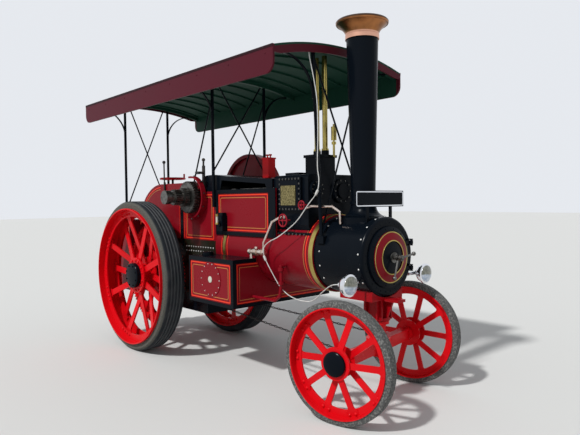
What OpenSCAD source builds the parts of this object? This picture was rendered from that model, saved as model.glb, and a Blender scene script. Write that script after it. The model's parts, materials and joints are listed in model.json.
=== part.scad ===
// Two-speed steam road tractor on rubber-tyred spoked wheels, with a full-length canopy.
// +X points forward, +Y to the engine's left, +Z up, and the tyres stand on Z = 0.

/* [Overall] */
// Distance from the rear axle to the front axle
wheel_base = 2905; // [2800:1:3000]
// Reach of the drawbar behind the rear axle
rear_reach = 1052; // [1040:1:1100]
// Height of the boiler's centre line
boiler_z = 1180; // [1160:1:1200]

/* [Rear wheels] */
// Radius over the rear tyre
rear_tyre_r = 825; // [800:1:840]
// Thickness of the rear tyre over its rim
rear_tyre_t = 78; // [66:1:88]
// Thickness of the rear rim plate
rear_rim_t = 12; // [8:1:16]
// Width of the rear rim
rear_rim_w = 286; // [260:1:290]
// Width of the rear tyre
rear_tyre_w = 226; // [200:1:240]
// Distance from the centre line to the middle of a rear wheel
rear_track_half = 635; // [632:1:650]
// Radius of the rear hub barrel
rear_hub_r = 105; // [95:1:120]
// Radius of the rear hub flanges
rear_flange_r = 195; // [170:1:210]
// Spokes in each of a rear wheel's two rows
rear_spokes = 7; // [5:1:8]
// Radius of the black drum outside the rear hub
rear_drum_r = 138; // [130:1:145]
// How far the rear rim stands out beyond its spoke rings
rear_recess = 75; // [65:1:80]
// Radius of the rear axle
rear_axle_r = 55; // [45:1:65]

/* [Front wheels] */
// Radius over the front tyre
front_tyre_r = 452; // [440:1:460]
// Thickness of the front tyre over its rim
front_tyre_t = 44; // [38:1:50]
// Thickness of the front rim plate
front_rim_t = 10; // [8:1:12]
// Width of the front rim
front_rim_w = 108; // [100:1:120]
// Width of the front tyre
front_tyre_w = 88; // [80:1:96]
// Distance from the pivot to the middle of a front wheel
front_track_half = 602; // [590:1:615]
// Radius of the front hub barrel
front_hub_r = 62; // [55:1:70]
// Radius of the front hub flanges
front_flange_r = 122; // [110:1:130]
// Spokes of a front wheel, dished alternately
front_spokes = 10; // [8:2:12]
// Radius of the front axle's journals
front_axle_r = 32; // [28:1:36]
// Angle at which the front axle is parked
steer_rest = 10.6; // [8:0.1:12]

/* [Boiler] */
// Radius over the boiler's lagging
boiler_r = 334; // [320:1:345]
// Where the barrel starts, ahead of the rear axle
barrel_ahead = 1090; // [1080:1:1100]
// Where the smokebox starts, ahead of the rear axle
smokebox_ahead = 2492; // [2480:1:2505]
// Length of the smokebox
smokebox_len = 520; // [500:1:530]
// Outer radius of the smokebox
smokebox_r = 321; // [310:1:325]
// Thickness of the smokebox wrapper
smokebox_t = 16; // [12:1:20]
// Width of the firebox between the horn plates
firebox_w = 610; // [600:1:620]
// Height of the firebox's foundation ring
firebox_z = 640; // [620:1:660]
// Thickness of the horn plates
horn_t = 14; // [12:1:18]
// Height of the horn plates' top edge ahead of the crankshaft
horn_top_z = 1740; // [1730:1:1745]

/* [Chimney] */
// Where the chimney stands, ahead of the rear axle
chimney_ahead = 2760; // [2750:1:2770]
// Outer radius at the chimney's foot
chimney_foot_r = 99; // [92:1:104]
// Outer radius at the chimney's top
chimney_top_r = 131; // [126:1:138]
// Radius of the copper cap's lip
cap_lip_r = 216; // [200:1:225]
// Height of the cap's lip
chimney_z = 3100; // [3080:1:3120]
// Thickness of the chimney's plate
chimney_t = 8; // [6:1:10]

/* [Crankshaft] */
// Where the crankshaft lies, ahead of the rear axle
crank_ahead = 720; // [710:1:730]
// Height of the crankshaft
crank_z = 1685; // [1680:1:1690]
// Radius of the crankshaft
crank_r = 40; // [36:1:44]
// Reach of the crankshaft's right end from the centre line
crank_reach = 700; // [690:1:705]
// Radius of the flywheel
flywheel_r = 488; // [480:1:492]
// Width of the flywheel's rim
flywheel_w = 105; // [90:1:112]
// Distance from the centre line to the flywheel's outer face
flywheel_y = 480; // [470:1:482]
// Radius over the teeth of the large crankshaft gear
crank_gear_r = 168; // [160:1:172]

/* [Tank and tender] */
// Width over the belly tank
tank_w = 1216; // [1190:1:1230]
// Where the belly tank starts, ahead of the rear axle
tank_ahead = 1043; // [1035:1:1050]
// Length of the belly tank
tank_len = 714; // [700:1:725]
// Height of the belly tank's floor
tank_z = 698; // [690:1:705]
// Height of the belly tank
tank_h = 408; // [400:1:415]
// Width over the tender
tender_w = 860; // [840:1:880]
// Length of the tender's tank behind the rear axle
tender_back = 975; // [960:1:985]

/* [Canopy] */
// Width over the canopy's side boards
canopy_w = 1542; // [1520:1:1560]
// Reach of the canopy behind the rear axle
canopy_back = 992; // [980:1:1000]
// Reach of the canopy ahead of the rear axle
canopy_front = 2553; // [2545:1:2560]
// Height of the roof's edge
canopy_side_z = 2828; // [2815:1:2840]
// Rise of the roof from its edges to its crown
canopy_rise = 105; // [95:1:115]
// Depth of the side boards
fascia_h = 215; // [200:1:225]
// Thickness of the roof boarding
roof_t = 16; // [12:1:20]
// Radius of the canopy's posts
post_r = 16; // [14:1:20]

/* [Hidden] */
$fn = 64;

// Clearances
seat_gap = 0.3;
run_gap = 6;

// Stations along the engine, from the middle of its length
front_reach = wheel_base + (front_track_half + front_tyre_w / 2) * sin(steer_rest)
    + front_tyre_r * cos(steer_rest);
rear_x = (rear_reach - front_reach) / 2;
front_x = rear_x + wheel_base;
barrel_x = rear_x + barrel_ahead;
smokebox_x = rear_x + smokebox_ahead;
smokebox_end = smokebox_x + smokebox_len;
chimney_x = rear_x + chimney_ahead;
crank_x = rear_x + crank_ahead;
rear_rim_r = rear_tyre_r - rear_tyre_t;
front_rim_r = front_tyre_r - front_tyre_t;
horn_y = firebox_w / 2;
horn_outer = horn_y + horn_t;

// Colours
maroon = [0.36, 0.03, 0.06];
bright_red = [0.75, 0.03, 0.04];
black = [0.05, 0.05, 0.05];
rubber = [0.1, 0.1, 0.1];
brass = [0.75, 0.58, 0.25];
copper = [0.72, 0.42, 0.3];
steel = [0.6, 0.6, 0.62];
olive = [0.16, 0.16, 0.1];
green = [0.08, 0.16, 0.13];
chrome = [0.8, 0.8, 0.82];

// A flat outline in X and Z, given thickness along Y
module along_y(y0, y1) {
    translate([0, y1, 0])
        rotate([90, 0, 0])
            linear_extrude(y1 - y0)
                children();
}

// A flat outline in Y and Z, given length along X
module along_x(x0, x1) {
    translate([x0, 0, 0])
        rotate([90, 0, 90])
            linear_extrude(x1 - x0)
                children();
}

// A round bar between two points
module rod(p, q, r) {
    span = q - p;
    translate(p)
        rotate([0, acos(span.z / norm(span)), atan2(span.y, span.x)])
            cylinder(h = norm(span), r = r);
}

// A disc or ring about the Y axis
module disc_y(r, y0, y1, hole = 0) {
    along_y(y0, y1)
        difference() {
            circle(r);
            if (hole > 0) circle(hole);
        }
}

// Both sides of the engine
module both_sides() {
    children();
    mirror([0, 1, 0]) children();
}

// A toothed wheel's outline
module gear_outline(teeth, root_r, tip_r) {
    pitch = 360 / teeth;
    polygon([
        for (i = [0 : teeth - 1])
            for (corner = [[root_r, -0.3], [tip_r, -0.14], [tip_r, 0.14], [root_r, 0.3]])
                let (a = (i + corner[1]) * pitch)
                    corner[0] * [cos(a), sin(a)]
    ]);
}

// Wheels

// One flat spoke lying along +X, whose outer end spreads in two quarter rounds into a pad
module spoke(from, to, spread_r, w, t, flare) {
    span = to - from;
    run = norm(span);
    pad = run * (spread_r - from.x) / span.x;
    wide = w + 2 * flare;
    translate([from.x, from.y, 0])
        rotate([0, 0, atan2(span.y, span.x)])
            rotate([90, 0, 0])
                translate([0, 0, -t / 2])
                    linear_extrude(t) {
                        translate([0, -w / 2]) square([run, w]);
                        translate([pad, -wide / 2]) square([run - pad, wide]);
                        difference() {
                            translate([pad - flare, -wide / 2]) square([flare + 0.1, wide]);
                            for (side = [-1, 1])
                                translate([pad - flare, side * wide / 2]) circle(flare);
                        }
                    }
}

// A domed cap standing on Z = 0
module domed_cap(r, side_h, dome_h) {
    steps = 8;
    rotate_extrude()
        polygon([
            [0, 0], [r, 0],
            for (i = [0 : steps])
                [r * cos(i * 90 / steps), side_h + dome_h * sin(i * 90 / steps)]
        ]);
}

rear_ring_t = 14;
rear_ring_w = 78;
rear_ring_r = rear_rim_r - rear_rim_t - rear_ring_w;
rear_ring_y = rear_rim_w / 2 - rear_recess;
rear_flange_y = 35;
rear_flange_t = 18;
rear_hub_y = 135;
rear_spoke_w = 66;
rear_spoke_t = 16;
rear_flare = 32;
rear_turn = 152.3;

// The right rear wheel about its own axle, with its outer side towards -Y.
// Its two rows of spokes cross: the outer ring's run to the inner flange, and the inner ring's to the outer.
module rear_wheel_shape() {
    rim_in = rear_rim_r - rear_rim_t;
    root = rear_hub_r - 12;
    behind = (rear_spoke_t + rear_ring_t) / 2 - 1;
    disc_y(rear_rim_r, -rear_rim_w / 2, rear_rim_w / 2, rim_in);
    for (side = [-1, 1])
        disc_y(rim_in + 2, side * rear_ring_y - rear_ring_t / 2, side * rear_ring_y + rear_ring_t / 2, rear_ring_r);
    disc_y(rear_flange_r, -rear_flange_y, -rear_flange_y + rear_flange_t, rear_axle_r + seat_gap);
    disc_y(rear_flange_r, rear_hub_y - rear_flange_t - 4, rear_hub_y - 4, rear_axle_r + seat_gap);
    disc_y(rear_hub_r, -rear_flange_y, rear_hub_y, rear_axle_r + seat_gap);
    for (i = [0 : rear_spokes - 1]) {
        rotate([0, -rear_turn - i * 360 / rear_spokes, 0])
            spoke([root, rear_hub_y - rear_flange_t - 11], [rim_in - 18, -rear_ring_y + behind],
                rear_ring_r + 8, rear_spoke_w, rear_spoke_t, rear_flare);
        rotate([0, -rear_turn - (i + 0.5) * 360 / rear_spokes, 0])
            spoke([root, -rear_flange_y + rear_flange_t + 7], [rim_in - 18, rear_ring_y - behind],
                rear_ring_r + 8, rear_spoke_w, rear_spoke_t, rear_flare);
    }
}

module rear_tyre_shape() {
    shoulder = 26;
    half = rear_tyre_w / 2;
    rotate([90, 0, 0])
        rotate_extrude($fn = 72)
            polygon([
                [rear_rim_r + seat_gap, -half], [rear_tyre_r - shoulder, -half],
                [rear_tyre_r, -half + shoulder], [rear_tyre_r, half - shoulder],
                [rear_tyre_r - shoulder, half], [rear_rim_r + seat_gap, half]
            ]);
}

module at_rear_wheel(side) {
    translate([rear_x, side * rear_track_half, rear_tyre_r])
        mirror([0, side > 0 ? 1 : 0, 0])
            children();
}

module rear_wheel_right() {
    color(bright_red) at_rear_wheel(-1) rear_wheel_shape();
}

module rear_wheel_left() {
    color(bright_red) at_rear_wheel(1) rear_wheel_shape();
}

module rear_tyre_right() {
    color(rubber) at_rear_wheel(-1) rear_tyre_shape();
}

module rear_tyre_left() {
    color(rubber) at_rear_wheel(1) rear_tyre_shape();
}

rear_drum_y = 97;
brake_r = 290;

module rear_axle() {
    axle_end = rear_track_half + rear_flange_y + 40;
    drum_foot = rear_track_half + rear_flange_y + run_gap;
    color(black)
        translate([rear_x, 0, rear_tyre_r]) {
            disc_y(rear_axle_r, -axle_end, axle_end);
            both_sides() {
                translate([0, -drum_foot, 0])
                    rotate([90, 0, 0])
                        domed_cap(rear_drum_r, rear_drum_y - rear_flange_y - 22, 16);
                disc_y(rear_axle_r + 30, horn_outer + seat_gap, rear_track_half - rear_hub_y - run_gap);
            }
            disc_y(brake_r, rear_track_half - rear_hub_y - run_gap - 60, rear_track_half - rear_hub_y - run_gap);
        }
}

// Front axle and wheels

front_ring_t = 12;
front_ring_w = 57;
front_ring_r = front_rim_r - front_rim_t - front_ring_w;
front_ring_y = 14;
front_flange_y = 44;
front_hub_y = 62;
front_spoke_w = 48;
front_spoke_t = 14;
front_flare = 26;

// The right front wheel about its own axle; alternate spokes start from the outer and the inner flange
module front_wheel_shape() {
    rim_in = front_rim_r - front_rim_t;
    disc_y(front_rim_r, -front_rim_w / 2, front_rim_w / 2, rim_in);
    disc_y(rim_in + 2, front_ring_y - front_ring_t / 2, front_ring_y + front_ring_t / 2, front_ring_r);
    disc_y(front_flange_r, -front_flange_y, -front_flange_y + 14, front_axle_r + seat_gap);
    disc_y(front_flange_r - 8, front_hub_y - 14, front_hub_y, front_axle_r + seat_gap);
    disc_y(front_hub_r, -front_flange_y, front_hub_y, front_axle_r + seat_gap);
    for (i = [0 : front_spokes - 1])
        rotate([0, -i * 360 / front_spokes, 0])
            spoke([front_hub_r - 8, i % 2 == 0 ? 8 - front_flange_y : front_hub_y - 8], [rim_in - 14, front_ring_y],
                front_ring_r + 6, front_spoke_w, front_spoke_t, front_flare);
}

module front_tyre_shape() {
    rotate([90, 0, 0])
        rotate_extrude($fn = 60)
            polygon([
                [front_rim_r + seat_gap, -front_tyre_w / 2], [front_tyre_r - 8, -front_tyre_w / 2],
                [front_tyre_r, -front_tyre_w / 2 + 8], [front_tyre_r, front_tyre_w / 2 - 8],
                [front_tyre_r - 8, front_tyre_w / 2], [front_rim_r + seat_gap, front_tyre_w / 2]
            ]);
}

// The axle's own frame: origin at the pivot, Y along the axle
module at_front_axle() {
    translate([front_x, 0, front_tyre_r])
        rotate([0, 0, steer_rest])
            children();
}

module at_front_wheel(side) {
    at_front_axle()
        translate([0, side * front_track_half, 0])
            mirror([0, side > 0 ? 1 : 0, 0])
                children();
}

module front_wheel_right() {
    color(bright_red) at_front_wheel(-1) front_wheel_shape();
}

module front_wheel_left() {
    color(bright_red) at_front_wheel(1) front_wheel_shape();
}

module front_tyre_right() {
    color(rubber) at_front_wheel(-1) front_tyre_shape();
}

module front_tyre_left() {
    color(rubber) at_front_wheel(1) front_tyre_shape();
}

front_cap_r = 92;
front_cap_h = 10;
pivot_top = 228;
pivot_r = 46;
yoke_r = 64;
beam_w = 76;
beam_h = 96;
chain_eye_y = 330;

module front_axle() {
    axle_end = front_track_half + front_flange_y + run_gap - seat_gap;
    beam_end = front_track_half - front_hub_y - run_gap;
    color(bright_red)
        at_front_axle() {
            disc_y(front_axle_r, -axle_end, axle_end);
            both_sides() {
                disc_y(front_axle_r + 22, beam_end - 60, beam_end);
                translate([-beam_w / 2, 40, -beam_h / 2]) cube([beam_w, beam_end - 80, beam_h]);
                translate([eye_x, chain_eye_y, -26]) cylinder(h = 52, r = chain_pin_r);
                for (z = [-32, 20])
                    translate([eye_x - 22, chain_eye_y - 22, z]) cube([-eye_x + 4, 44, 12]);
            }
            translate([0, 0, -beam_h / 2 - 20]) cylinder(h = beam_h + 40, r = yoke_r + 34);
            cylinder(h = pivot_top - 20, r = yoke_r);
            translate([0, 0, pivot_top - 44]) cylinder(h = 24, r = yoke_r + 26);
            translate([0, 0, pivot_top - 30]) cylinder(h = 80, r = pivot_r);
        }
}

module front_caps() {
    color(black)
        at_front_axle()
            both_sides()
                translate([0, -front_track_half - front_flange_y - run_gap, 0])
                    rotate([90, 0, 0])
                        domed_cap(front_cap_r, front_cap_h, 22);
}

perch_z = front_tyre_r + pivot_top - 20 + run_gap;
tow_reach = 238;
tow_hole = 195;
tow_t = 22;

// The perch carries the smokebox on the axle's pivot, with a towing lug reaching out in front
module perch_bracket() {
    saddle_low = boiler_z - smokebox_r - 6;
    color(bright_red)
        difference() {
            union() {
                translate([front_x, 0, perch_z]) cylinder(h = 24, r = yoke_r + 36);
                translate([front_x, 0, perch_z]) cylinder(h = saddle_low - perch_z, r = pivot_r + 16);
                for (side = [-1, 1]) {
                    translate([front_x + side * 60 - 8, -92, perch_z + 10]) cube([16, 184, saddle_low - perch_z]);
                    translate([front_x - 92, side * 60 - 8, perch_z + 10]) cube([184, 16, saddle_low - perch_z]);
                }
                translate([front_x - 240, -190, saddle_low - 14])
                    cube([340, 380, 80]);
                translate([front_x + 60, -48, saddle_low - tow_t])
                    cube([tow_reach - 60, 96, tow_t]);
                along_y(-8, 8)
                    polygon([
                        [front_x + 60, perch_z + 12], [front_x + 96, perch_z + 12],
                        [front_x + tow_hole - 30, saddle_low - 10], [front_x + 60, saddle_low - 10]
                    ]);
            }
            along_x(front_x - 400, front_x + 400)
                translate([0, boiler_z]) circle(smokebox_r + seat_gap);
            translate([front_x, 0, perch_z - 1])
                cylinder(h = 80, r = pivot_r + seat_gap);
            translate([front_x + tow_hole, 0, saddle_low - 60])
                cylinder(h = 120, r = 16);
        }
}

// Boiler

module boiler_barrel() {
    color(maroon)
        along_x(barrel_x, smokebox_x)
            translate([0, boiler_z]) circle(boiler_r);
}

band_t = 3;
band_r = boiler_r + band_t;

module boiler_bands() {
    color(brass)
        for (band = [[barrel_ahead + 130, 40], [smokebox_ahead - 48, 46]])
            along_x(rear_x + band[0], rear_x + band[0] + band[1])
                translate([0, boiler_z])
                    difference() {
                        circle(band_r);
                        circle(boiler_r + seat_gap);
                    }
}

firebox_back = rear_x + 150;
firebox_top = boiler_z + boiler_r;

module firebox() {
    color(olive)
        translate([firebox_back, -horn_y + seat_gap, firebox_z])
            cube([barrel_x - firebox_back - seat_gap, firebox_w - 2 * seat_gap, firebox_top - firebox_z]);
}

ashpan_h = 190;

module ashpan() {
    color(black)
        translate([firebox_back + 60, -horn_y + 40, firebox_z - ashpan_h])
            cube([barrel_x - firebox_back - 320, firebox_w - 80, ashpan_h - seat_gap]);
}

horn_back = rear_x - 110;
hump_z = 1844;
hump_r = 566;
hump_x = rear_x - 14;
hump_front = crank_x + 62;
sheet_back = rear_x - 430;
sheet_low = 1180;
bearing_r = 88;
bearing_t = 44;

// A horn plate's outline; behind the crankshaft it rises in one large round corner
module horn_outline() {
    difference() {
        union() {
            translate([horn_back, firebox_z + 40])
                square([barrel_x - horn_back, horn_top_z - firebox_z - 40]);
            intersection() {
                translate([hump_x, hump_z - hump_r]) circle(hump_r, $fn = 120);
                translate([sheet_back, sheet_low]) square([hump_x - sheet_back + 1, hump_z - sheet_low]);
            }
            translate([hump_x, horn_top_z - 1]) square([hump_front - hump_x, hump_z - horn_top_z + 1]);
        }
        translate([rear_x, rear_tyre_r]) circle(rear_axle_r + seat_gap);
        translate([crank_x, crank_z]) circle(crank_r + seat_gap);
    }
}

module horn_plates() {
    color(maroon)
        both_sides() {
            along_y(horn_y, horn_outer)
                horn_outline();
            translate([crank_x, 0, crank_z])
                disc_y(bearing_r, horn_outer - 1, horn_outer + bearing_t, crank_r + seat_gap);
            translate([rear_x, 0, rear_tyre_r])
                disc_y(rear_axle_r + 34, horn_y - 40, horn_y + 1, rear_axle_r + seat_gap);
        }
}

panel_back = barrel_x + seat_gap;
panel_front = rear_x + 2016;
panel_z0 = 1305;
panel_z1 = 1752;
panel_frame = 38;
panel_frame_t = 7;
block_back = rear_x + 1955;
block_front = rear_x + 2400;
block_z1 = 1862;
block_y = 285;
saddle_base_z = boiler_z + 150;

// A black angle frame round the motion's side plates
module panel_frames() {
    color(black)
        both_sides()
            along_y(horn_outer + seat_gap, horn_outer + panel_frame_t)
                difference() {
                    translate([panel_back, panel_z0]) square([panel_front - panel_back, panel_z1 - panel_z0]);
                    translate([panel_back + panel_frame, panel_z0 + panel_frame])
                        square([panel_front - panel_back - 2 * panel_frame - 60, panel_z1 - panel_z0 - 2 * panel_frame]);
                }
}

module side_panels() {
    color(maroon)
        difference() {
            both_sides()
                along_y(horn_y, horn_outer)
                    translate([panel_back, panel_z0])
                        square([panel_front - panel_back, panel_z1 - panel_z0]);
            along_x(panel_back - 1, panel_front + 1)
                translate([0, boiler_z]) circle(band_r + seat_gap, $fn = 200);
        }
}

cover_back = rear_x + 791;
cover_front = block_back - seat_gap;
cover_t = 9;
cover_window = 1140;

function cover_side(inset) = [
    [cover_back + inset, horn_top_z - inset], [cover_back + inset, 1800], [cover_back + inset + 12, 1850 - inset],
    [cover_back + inset + 45, 1888 - inset], [cover_back + 110, 1908 - inset], [rear_x + 1031, 1911 - inset],
    [rear_x + 1323, 1880 - inset], [cover_front - (inset > 0 ? -1 : 0), 1836 - inset],
    [cover_front - (inset > 0 ? -1 : 0), horn_top_z - inset]
];

// The splash cover over the cranks and rods, open at its sides towards the front
module motion_cover() {
    color(black) {
        difference() {
            along_y(-horn_y + seat_gap, horn_y - seat_gap) polygon(cover_side(0));
            along_y(-horn_y + 12, horn_y - 12) polygon(cover_side(cover_t));
            translate([crank_x - 400, -400, 0]) cube([2000, 800, horn_top_z + seat_gap]);
            along_y(-400, 400)
                polygon([
                    [rear_x + cover_window, horn_top_z], [rear_x + cover_window + 30, 1850],
                    [rear_x + 1323, 1836], [rear_x + 1850, 1796], [rear_x + 1880, horn_top_z]
                ]);
        }
        along_y(-horn_y + seat_gap, horn_y - seat_gap)
            polygon([
                [rear_x + 430, hump_z - 22], [cover_back + 4, hump_z - 22],
                [cover_back + 4, hump_z - 14], [rear_x + 430, hump_z - 14]
            ]);
    }
}

throw_y = 150;
guide_x = [rear_x + 1320, rear_x + 1900];
crosshead_x = rear_x + 1560;

// Connecting rods, crossheads, slide bars, piston and valve rods
module motion_work() {
    color(steel)
        for (side = [-1, 1]) {
            y = side * throw_y;
            hull_z = crank_z;
            along_y(y - 17, y + 17)
                polygon([
                    [crank_x + 120, crank_z - 44], [crosshead_x, hull_z - 26],
                    [crosshead_x, hull_z + 26], [crank_x + 120, crank_z + 44]
                ]);
            translate([crosshead_x, y, crank_z]) disc_y(46, -30, 30);
            rod([crosshead_x, y, crank_z], [block_back - seat_gap, y, crank_z], 22);
            for (z = [crank_z - 78, crank_z + 54])
                translate([guide_x[0], y - 35, z]) cube([block_back - seat_gap - guide_x[0], 70, 24]);
            for (z = [crank_z - 54, crank_z + 42])
                translate([crosshead_x - 60, y - 30, z]) cube([120, 60, 12]);
            rod([crank_x + 150, side * 245, crank_z + 30], [block_back - seat_gap, side * 245, crank_z + 52], 13);
            translate([guide_x[0] - 40, side * 245 - 16, crank_z + 10]) cube([60, 32, 66]);
        }
}

hp_cover = [-196, 1733, 74];
lp_cover = [112, 1718, 108];
tower_x = [rear_x + 2228, rear_x + 2388];
tower_y = [-150, 58];
tower_z = 2072;

// The block's outline in Y and Z, with rounded top corners
module block_outline() {
    steps = 5;
    r = 40;
    polygon([
        [-block_y + r, saddle_base_z], [block_y - r, saddle_base_z], [block_y, saddle_base_z + 100],
        for (i = [0 : steps])
            [block_y - r + r * cos(i * 90 / steps), block_z1 - r + r * sin(i * 90 / steps)],
        for (i = [0 : steps])
            [-block_y + r - r * sin(i * 90 / steps), block_z1 - r + r * cos(i * 90 / steps)],
        [-block_y, saddle_base_z + 100]
    ]);
}

module cylinder_block() {
    color(black) {
        difference() {
            union() {
                along_x(block_back, block_front) block_outline();
                translate([block_back - 30, -block_y - 8, saddle_base_z - 26])
                    cube([block_front - block_back + 60, 2 * block_y + 16, 60]);
            }
            along_x(block_back - 60, block_front + 60)
                translate([0, boiler_z]) circle(boiler_r + seat_gap, $fn = 200);
        }
        for (cover = [hp_cover, lp_cover])
            along_x(block_front - 1, block_front + 26)
                translate([cover[0], cover[1]]) circle(cover[2]);
        for (cover = [hp_cover, lp_cover])
            along_x(block_front + 25, block_front + 40)
                translate([cover[0], cover[1]]) circle(cover[2] * 0.62);
        translate([tower_x[0], tower_y[0], block_z1 - 1])
            cube([tower_x[1] - tower_x[0], tower_y[1] - tower_y[0], tower_z - 60 - block_z1]);
        translate([tower_x[0] - 12, tower_y[0] - 12, tower_z - 62])
            cube([tower_x[1] - tower_x[0] + 24, tower_y[1] - tower_y[0] + 24, 24]);
        for (x = safety_x)
            translate([x, safety_y, tower_z - 40]) cylinder(h = 40, r = 34);
        translate([block_back + 40, -180, block_z1 - 1]) cube([170, 360, 26]);
    }
}

safety_x = [rear_x + 2232 + 26, rear_x + 2358];
safety_y = -34;
chest_x = [rear_x + 2052, rear_x + 2330];
chest_z = [1552, 1838];

module valve_chests() {
    color(black)
        both_sides() {
            translate([chest_x[0], block_y + seat_gap, chest_z[0]])
                cube([chest_x[1] - chest_x[0], 24, chest_z[1] - chest_z[0]]);
            translate([chest_x[0] + 26, block_y + 22, chest_z[0] + 28])
                cube([chest_x[1] - chest_x[0] - 52, 10, chest_z[1] - chest_z[0] - 56]);
        }
}

pipe_top_z = canopy_side_z + canopy_rise - roof_t - 26;

// Safety-valve pipes up to the canopy, the whistle, and the plates on the valve chests
module brass_fittings() {
    color(brass) {
        for (x = safety_x) {
            translate([x, safety_y, tower_z + seat_gap]) cylinder(h = pipe_top_z - tower_z, r = 23);
            translate([x, safety_y, tower_z + seat_gap]) cylinder(h = 16, r = 31);
        }
        translate([rear_x + 2425, 6, tower_z - 50]) whistle();
        both_sides()
            translate([chest_x[0] + 38, block_y + 32 + seat_gap, chest_z[0] + 46])
                cube([chest_x[1] - chest_x[0] - 92, 6, chest_z[1] - chest_z[0] - 116]);
    }
}

// A bell whistle on its bent pipe
module whistle() {
    rod([-25 + seat_gap, 0, 0], [0, 0, 0], 11);
    sphere(13);
    cylinder(h = 110, r = 10);
    translate([0, 0, 100]) cylinder(h = 24, r = 20);
    translate([0, 0, 118]) cylinder(h = 40, r = 8);
    translate([0, 0, 136]) cylinder(h = 118, r = 24);
    translate([0, 0, 250]) cylinder(h = 26, r = 9);
}

injector_at = [rear_x + 1832, -boiler_r - 52, boiler_z - 4];

// The injector beside the boiler, its pipes and their joints
module feed_pipes() {
    color(copper) {
        translate(injector_at) {
            rod([-96, 0, 0], [104, 0, 0], 22);
            rod([-40, 0, 0], [4, 0, 0], 36);
            rod([48, 0, 0], [74, 0, 0], 32);
            rod([-110, 0, 0], [-84, 0, 0], 30);
            translate([-14, 0, 0]) cylinder(h = 48, r = 17);
            translate([-92, 0, tank_z + tank_h + 6 + 2 * seat_gap - boiler_z + 4])
                cylinder(h = boiler_z - 4 - tank_z - tank_h - 6 - 2 * seat_gap, r = 15);
        }
        pipe([
            injector_at + [84, 0, 0], [rear_x + 1930, -boiler_r - 60, 1262], [rear_x + 2011, -boiler_r - 26, 1451],
            [rear_x + 2090, -boiler_r - 8, 1490], [rear_x + 2150, -boiler_r - 8, 1500]
        ], 11);
        translate([rear_x + 2150, -boiler_r - 8, 1484]) cylinder(h = 30, r = 15, $fn = 12);
        rod([rear_x + 2388, -block_y - seat_gap, 1574], [rear_x + 2388, -300, 1574], 8, $fn = 8);
        pipe([
            [rear_x + 2388, -298, 1574], [rear_x + 2450, -300, 1590], [rear_x + 2640, -250, 1586],
            [rear_x + 2690, -212, 1540], [rear_x + 2690, -205, 1448]
        ], 10);
    }
}

// A bent pipe through several points; each length runs a little past its joints
module pipe(points, r) {
    for (i = [1 : len(points) - 1]) {
        span = points[i] - points[i - 1];
        past = span * (r * 0.5 / norm(span));
        rod(points[i - 1] - past, points[i] + past, r, $fn = 12);
    }
}

// A small hand wheel facing along -Y
module hand_wheel(r, t) {
    rotate([90, 0, 0]) {
        rotate_extrude($fn = 32) translate([r, 0]) circle(t, $fn = 12);
        cylinder(h = 16, r = t * 1.6, center = true);
        for (i = [0 : 3])
            rotate([0, 90, i * 90]) cylinder(h = r, r = t * 0.7);
    }
}

module hand_wheels() {
    color(bright_red)
        for (at = [[2163, 1467, 52, 7, 366], [2385, 1600, 34, 6, 352]])
            translate([rear_x + at[0], -at[4], at[1]]) {
                hand_wheel(at[2], at[3]);
                rod([0, 0, 0], [0, at[4] - block_y - seat_gap, 0], at[3]);
            }
}

// The mechanical lubricator on the near side panel
module lubricator() {
    color(black)
        translate([rear_x + 1191, -horn_outer - seat_gap - 62, 1346]) {
            cube([90, 62, 150]);
            translate([8, 8, 148]) cube([74, 46, 33]);
            translate([45, 2, 70]) rotate([90, 0, 0]) cylinder(h = 20, r = 26);
        }
}

oil_x = [rear_x + 1612, rear_x + 1700];
oil_y = [-134, -48];
oil_z = [1860.2, 2046];

// The lubricator box on the motion cover
module oil_box() {
    color(bright_red) {
        translate([oil_x[0], oil_y[0], oil_z[0]])
            cube([oil_x[1] - oil_x[0], oil_y[1] - oil_y[0], oil_z[1] - oil_z[0]]);
        translate([oil_x[0] - 6, oil_y[0] - 6, oil_z[1] - 8])
            cube([oil_x[1] - oil_x[0] + 12, oil_y[1] - oil_y[0] + 12, 14]);
        for (x = [oil_x[0] + 24, oil_x[1] - 20])
            translate([x, (oil_y[0] + oil_y[1]) / 2, oil_z[1] + 5]) {
                cylinder(h = 22, r = 7);
                translate([0, 0, 20]) cylinder(h = 14, r = 15);
            }
    }
}

// Smokebox and chimney

door_x = smokebox_end + seat_gap;
door_r = 245;
door_edge = 14;
door_dome = 56;
ring_in_r = 130;
ring_out_r = 205;
hinge_y = 274;
hinge_x = door_x + 26;
hinge_r = 9;
hinge_eye_h = 30;
hinge_rise = 105;

// Height of the door's dished face at a radius
function dome_h(r) = door_edge + (door_dome - door_edge) * (1 - pow(r / door_r, 2));

module smokebox() {
    lip_r = 24;
    color(black) {
        difference() {
            translate([0, 0, boiler_z])
                rotate([0, 90, 0])
                    rotate_extrude($fn = 96)
                        polygon([
                            [smokebox_r - smokebox_t, smokebox_x + seat_gap], [smokebox_r, smokebox_x + seat_gap],
                            for (i = [0 : 6])
                                [smokebox_r - lip_r + lip_r * cos(i * 15), smokebox_end - lip_r + lip_r * sin(i * 15)],
                            [door_r + 6, smokebox_end], [door_r - 22, smokebox_end - 3],
                            [door_r - 22, smokebox_end - 30], [smokebox_r - smokebox_t, smokebox_end - 44]
                        ]);
            translate([chimney_x, 0, boiler_z])
                cylinder(h = 400, r = chimney_foot_r - chimney_t);
        }
        for (z = [-hinge_rise, hinge_rise]) {
            translate([hinge_x, hinge_y, boiler_z + z - 28]) cylinder(h = 56, r = hinge_r);
            for (end = [-28, 18])
                translate([smokebox_end - 10, hinge_y - 9, boiler_z + z + end])
                    cube([hinge_x - smokebox_end + 20, 18, 10]);
        }
    }
}

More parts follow.
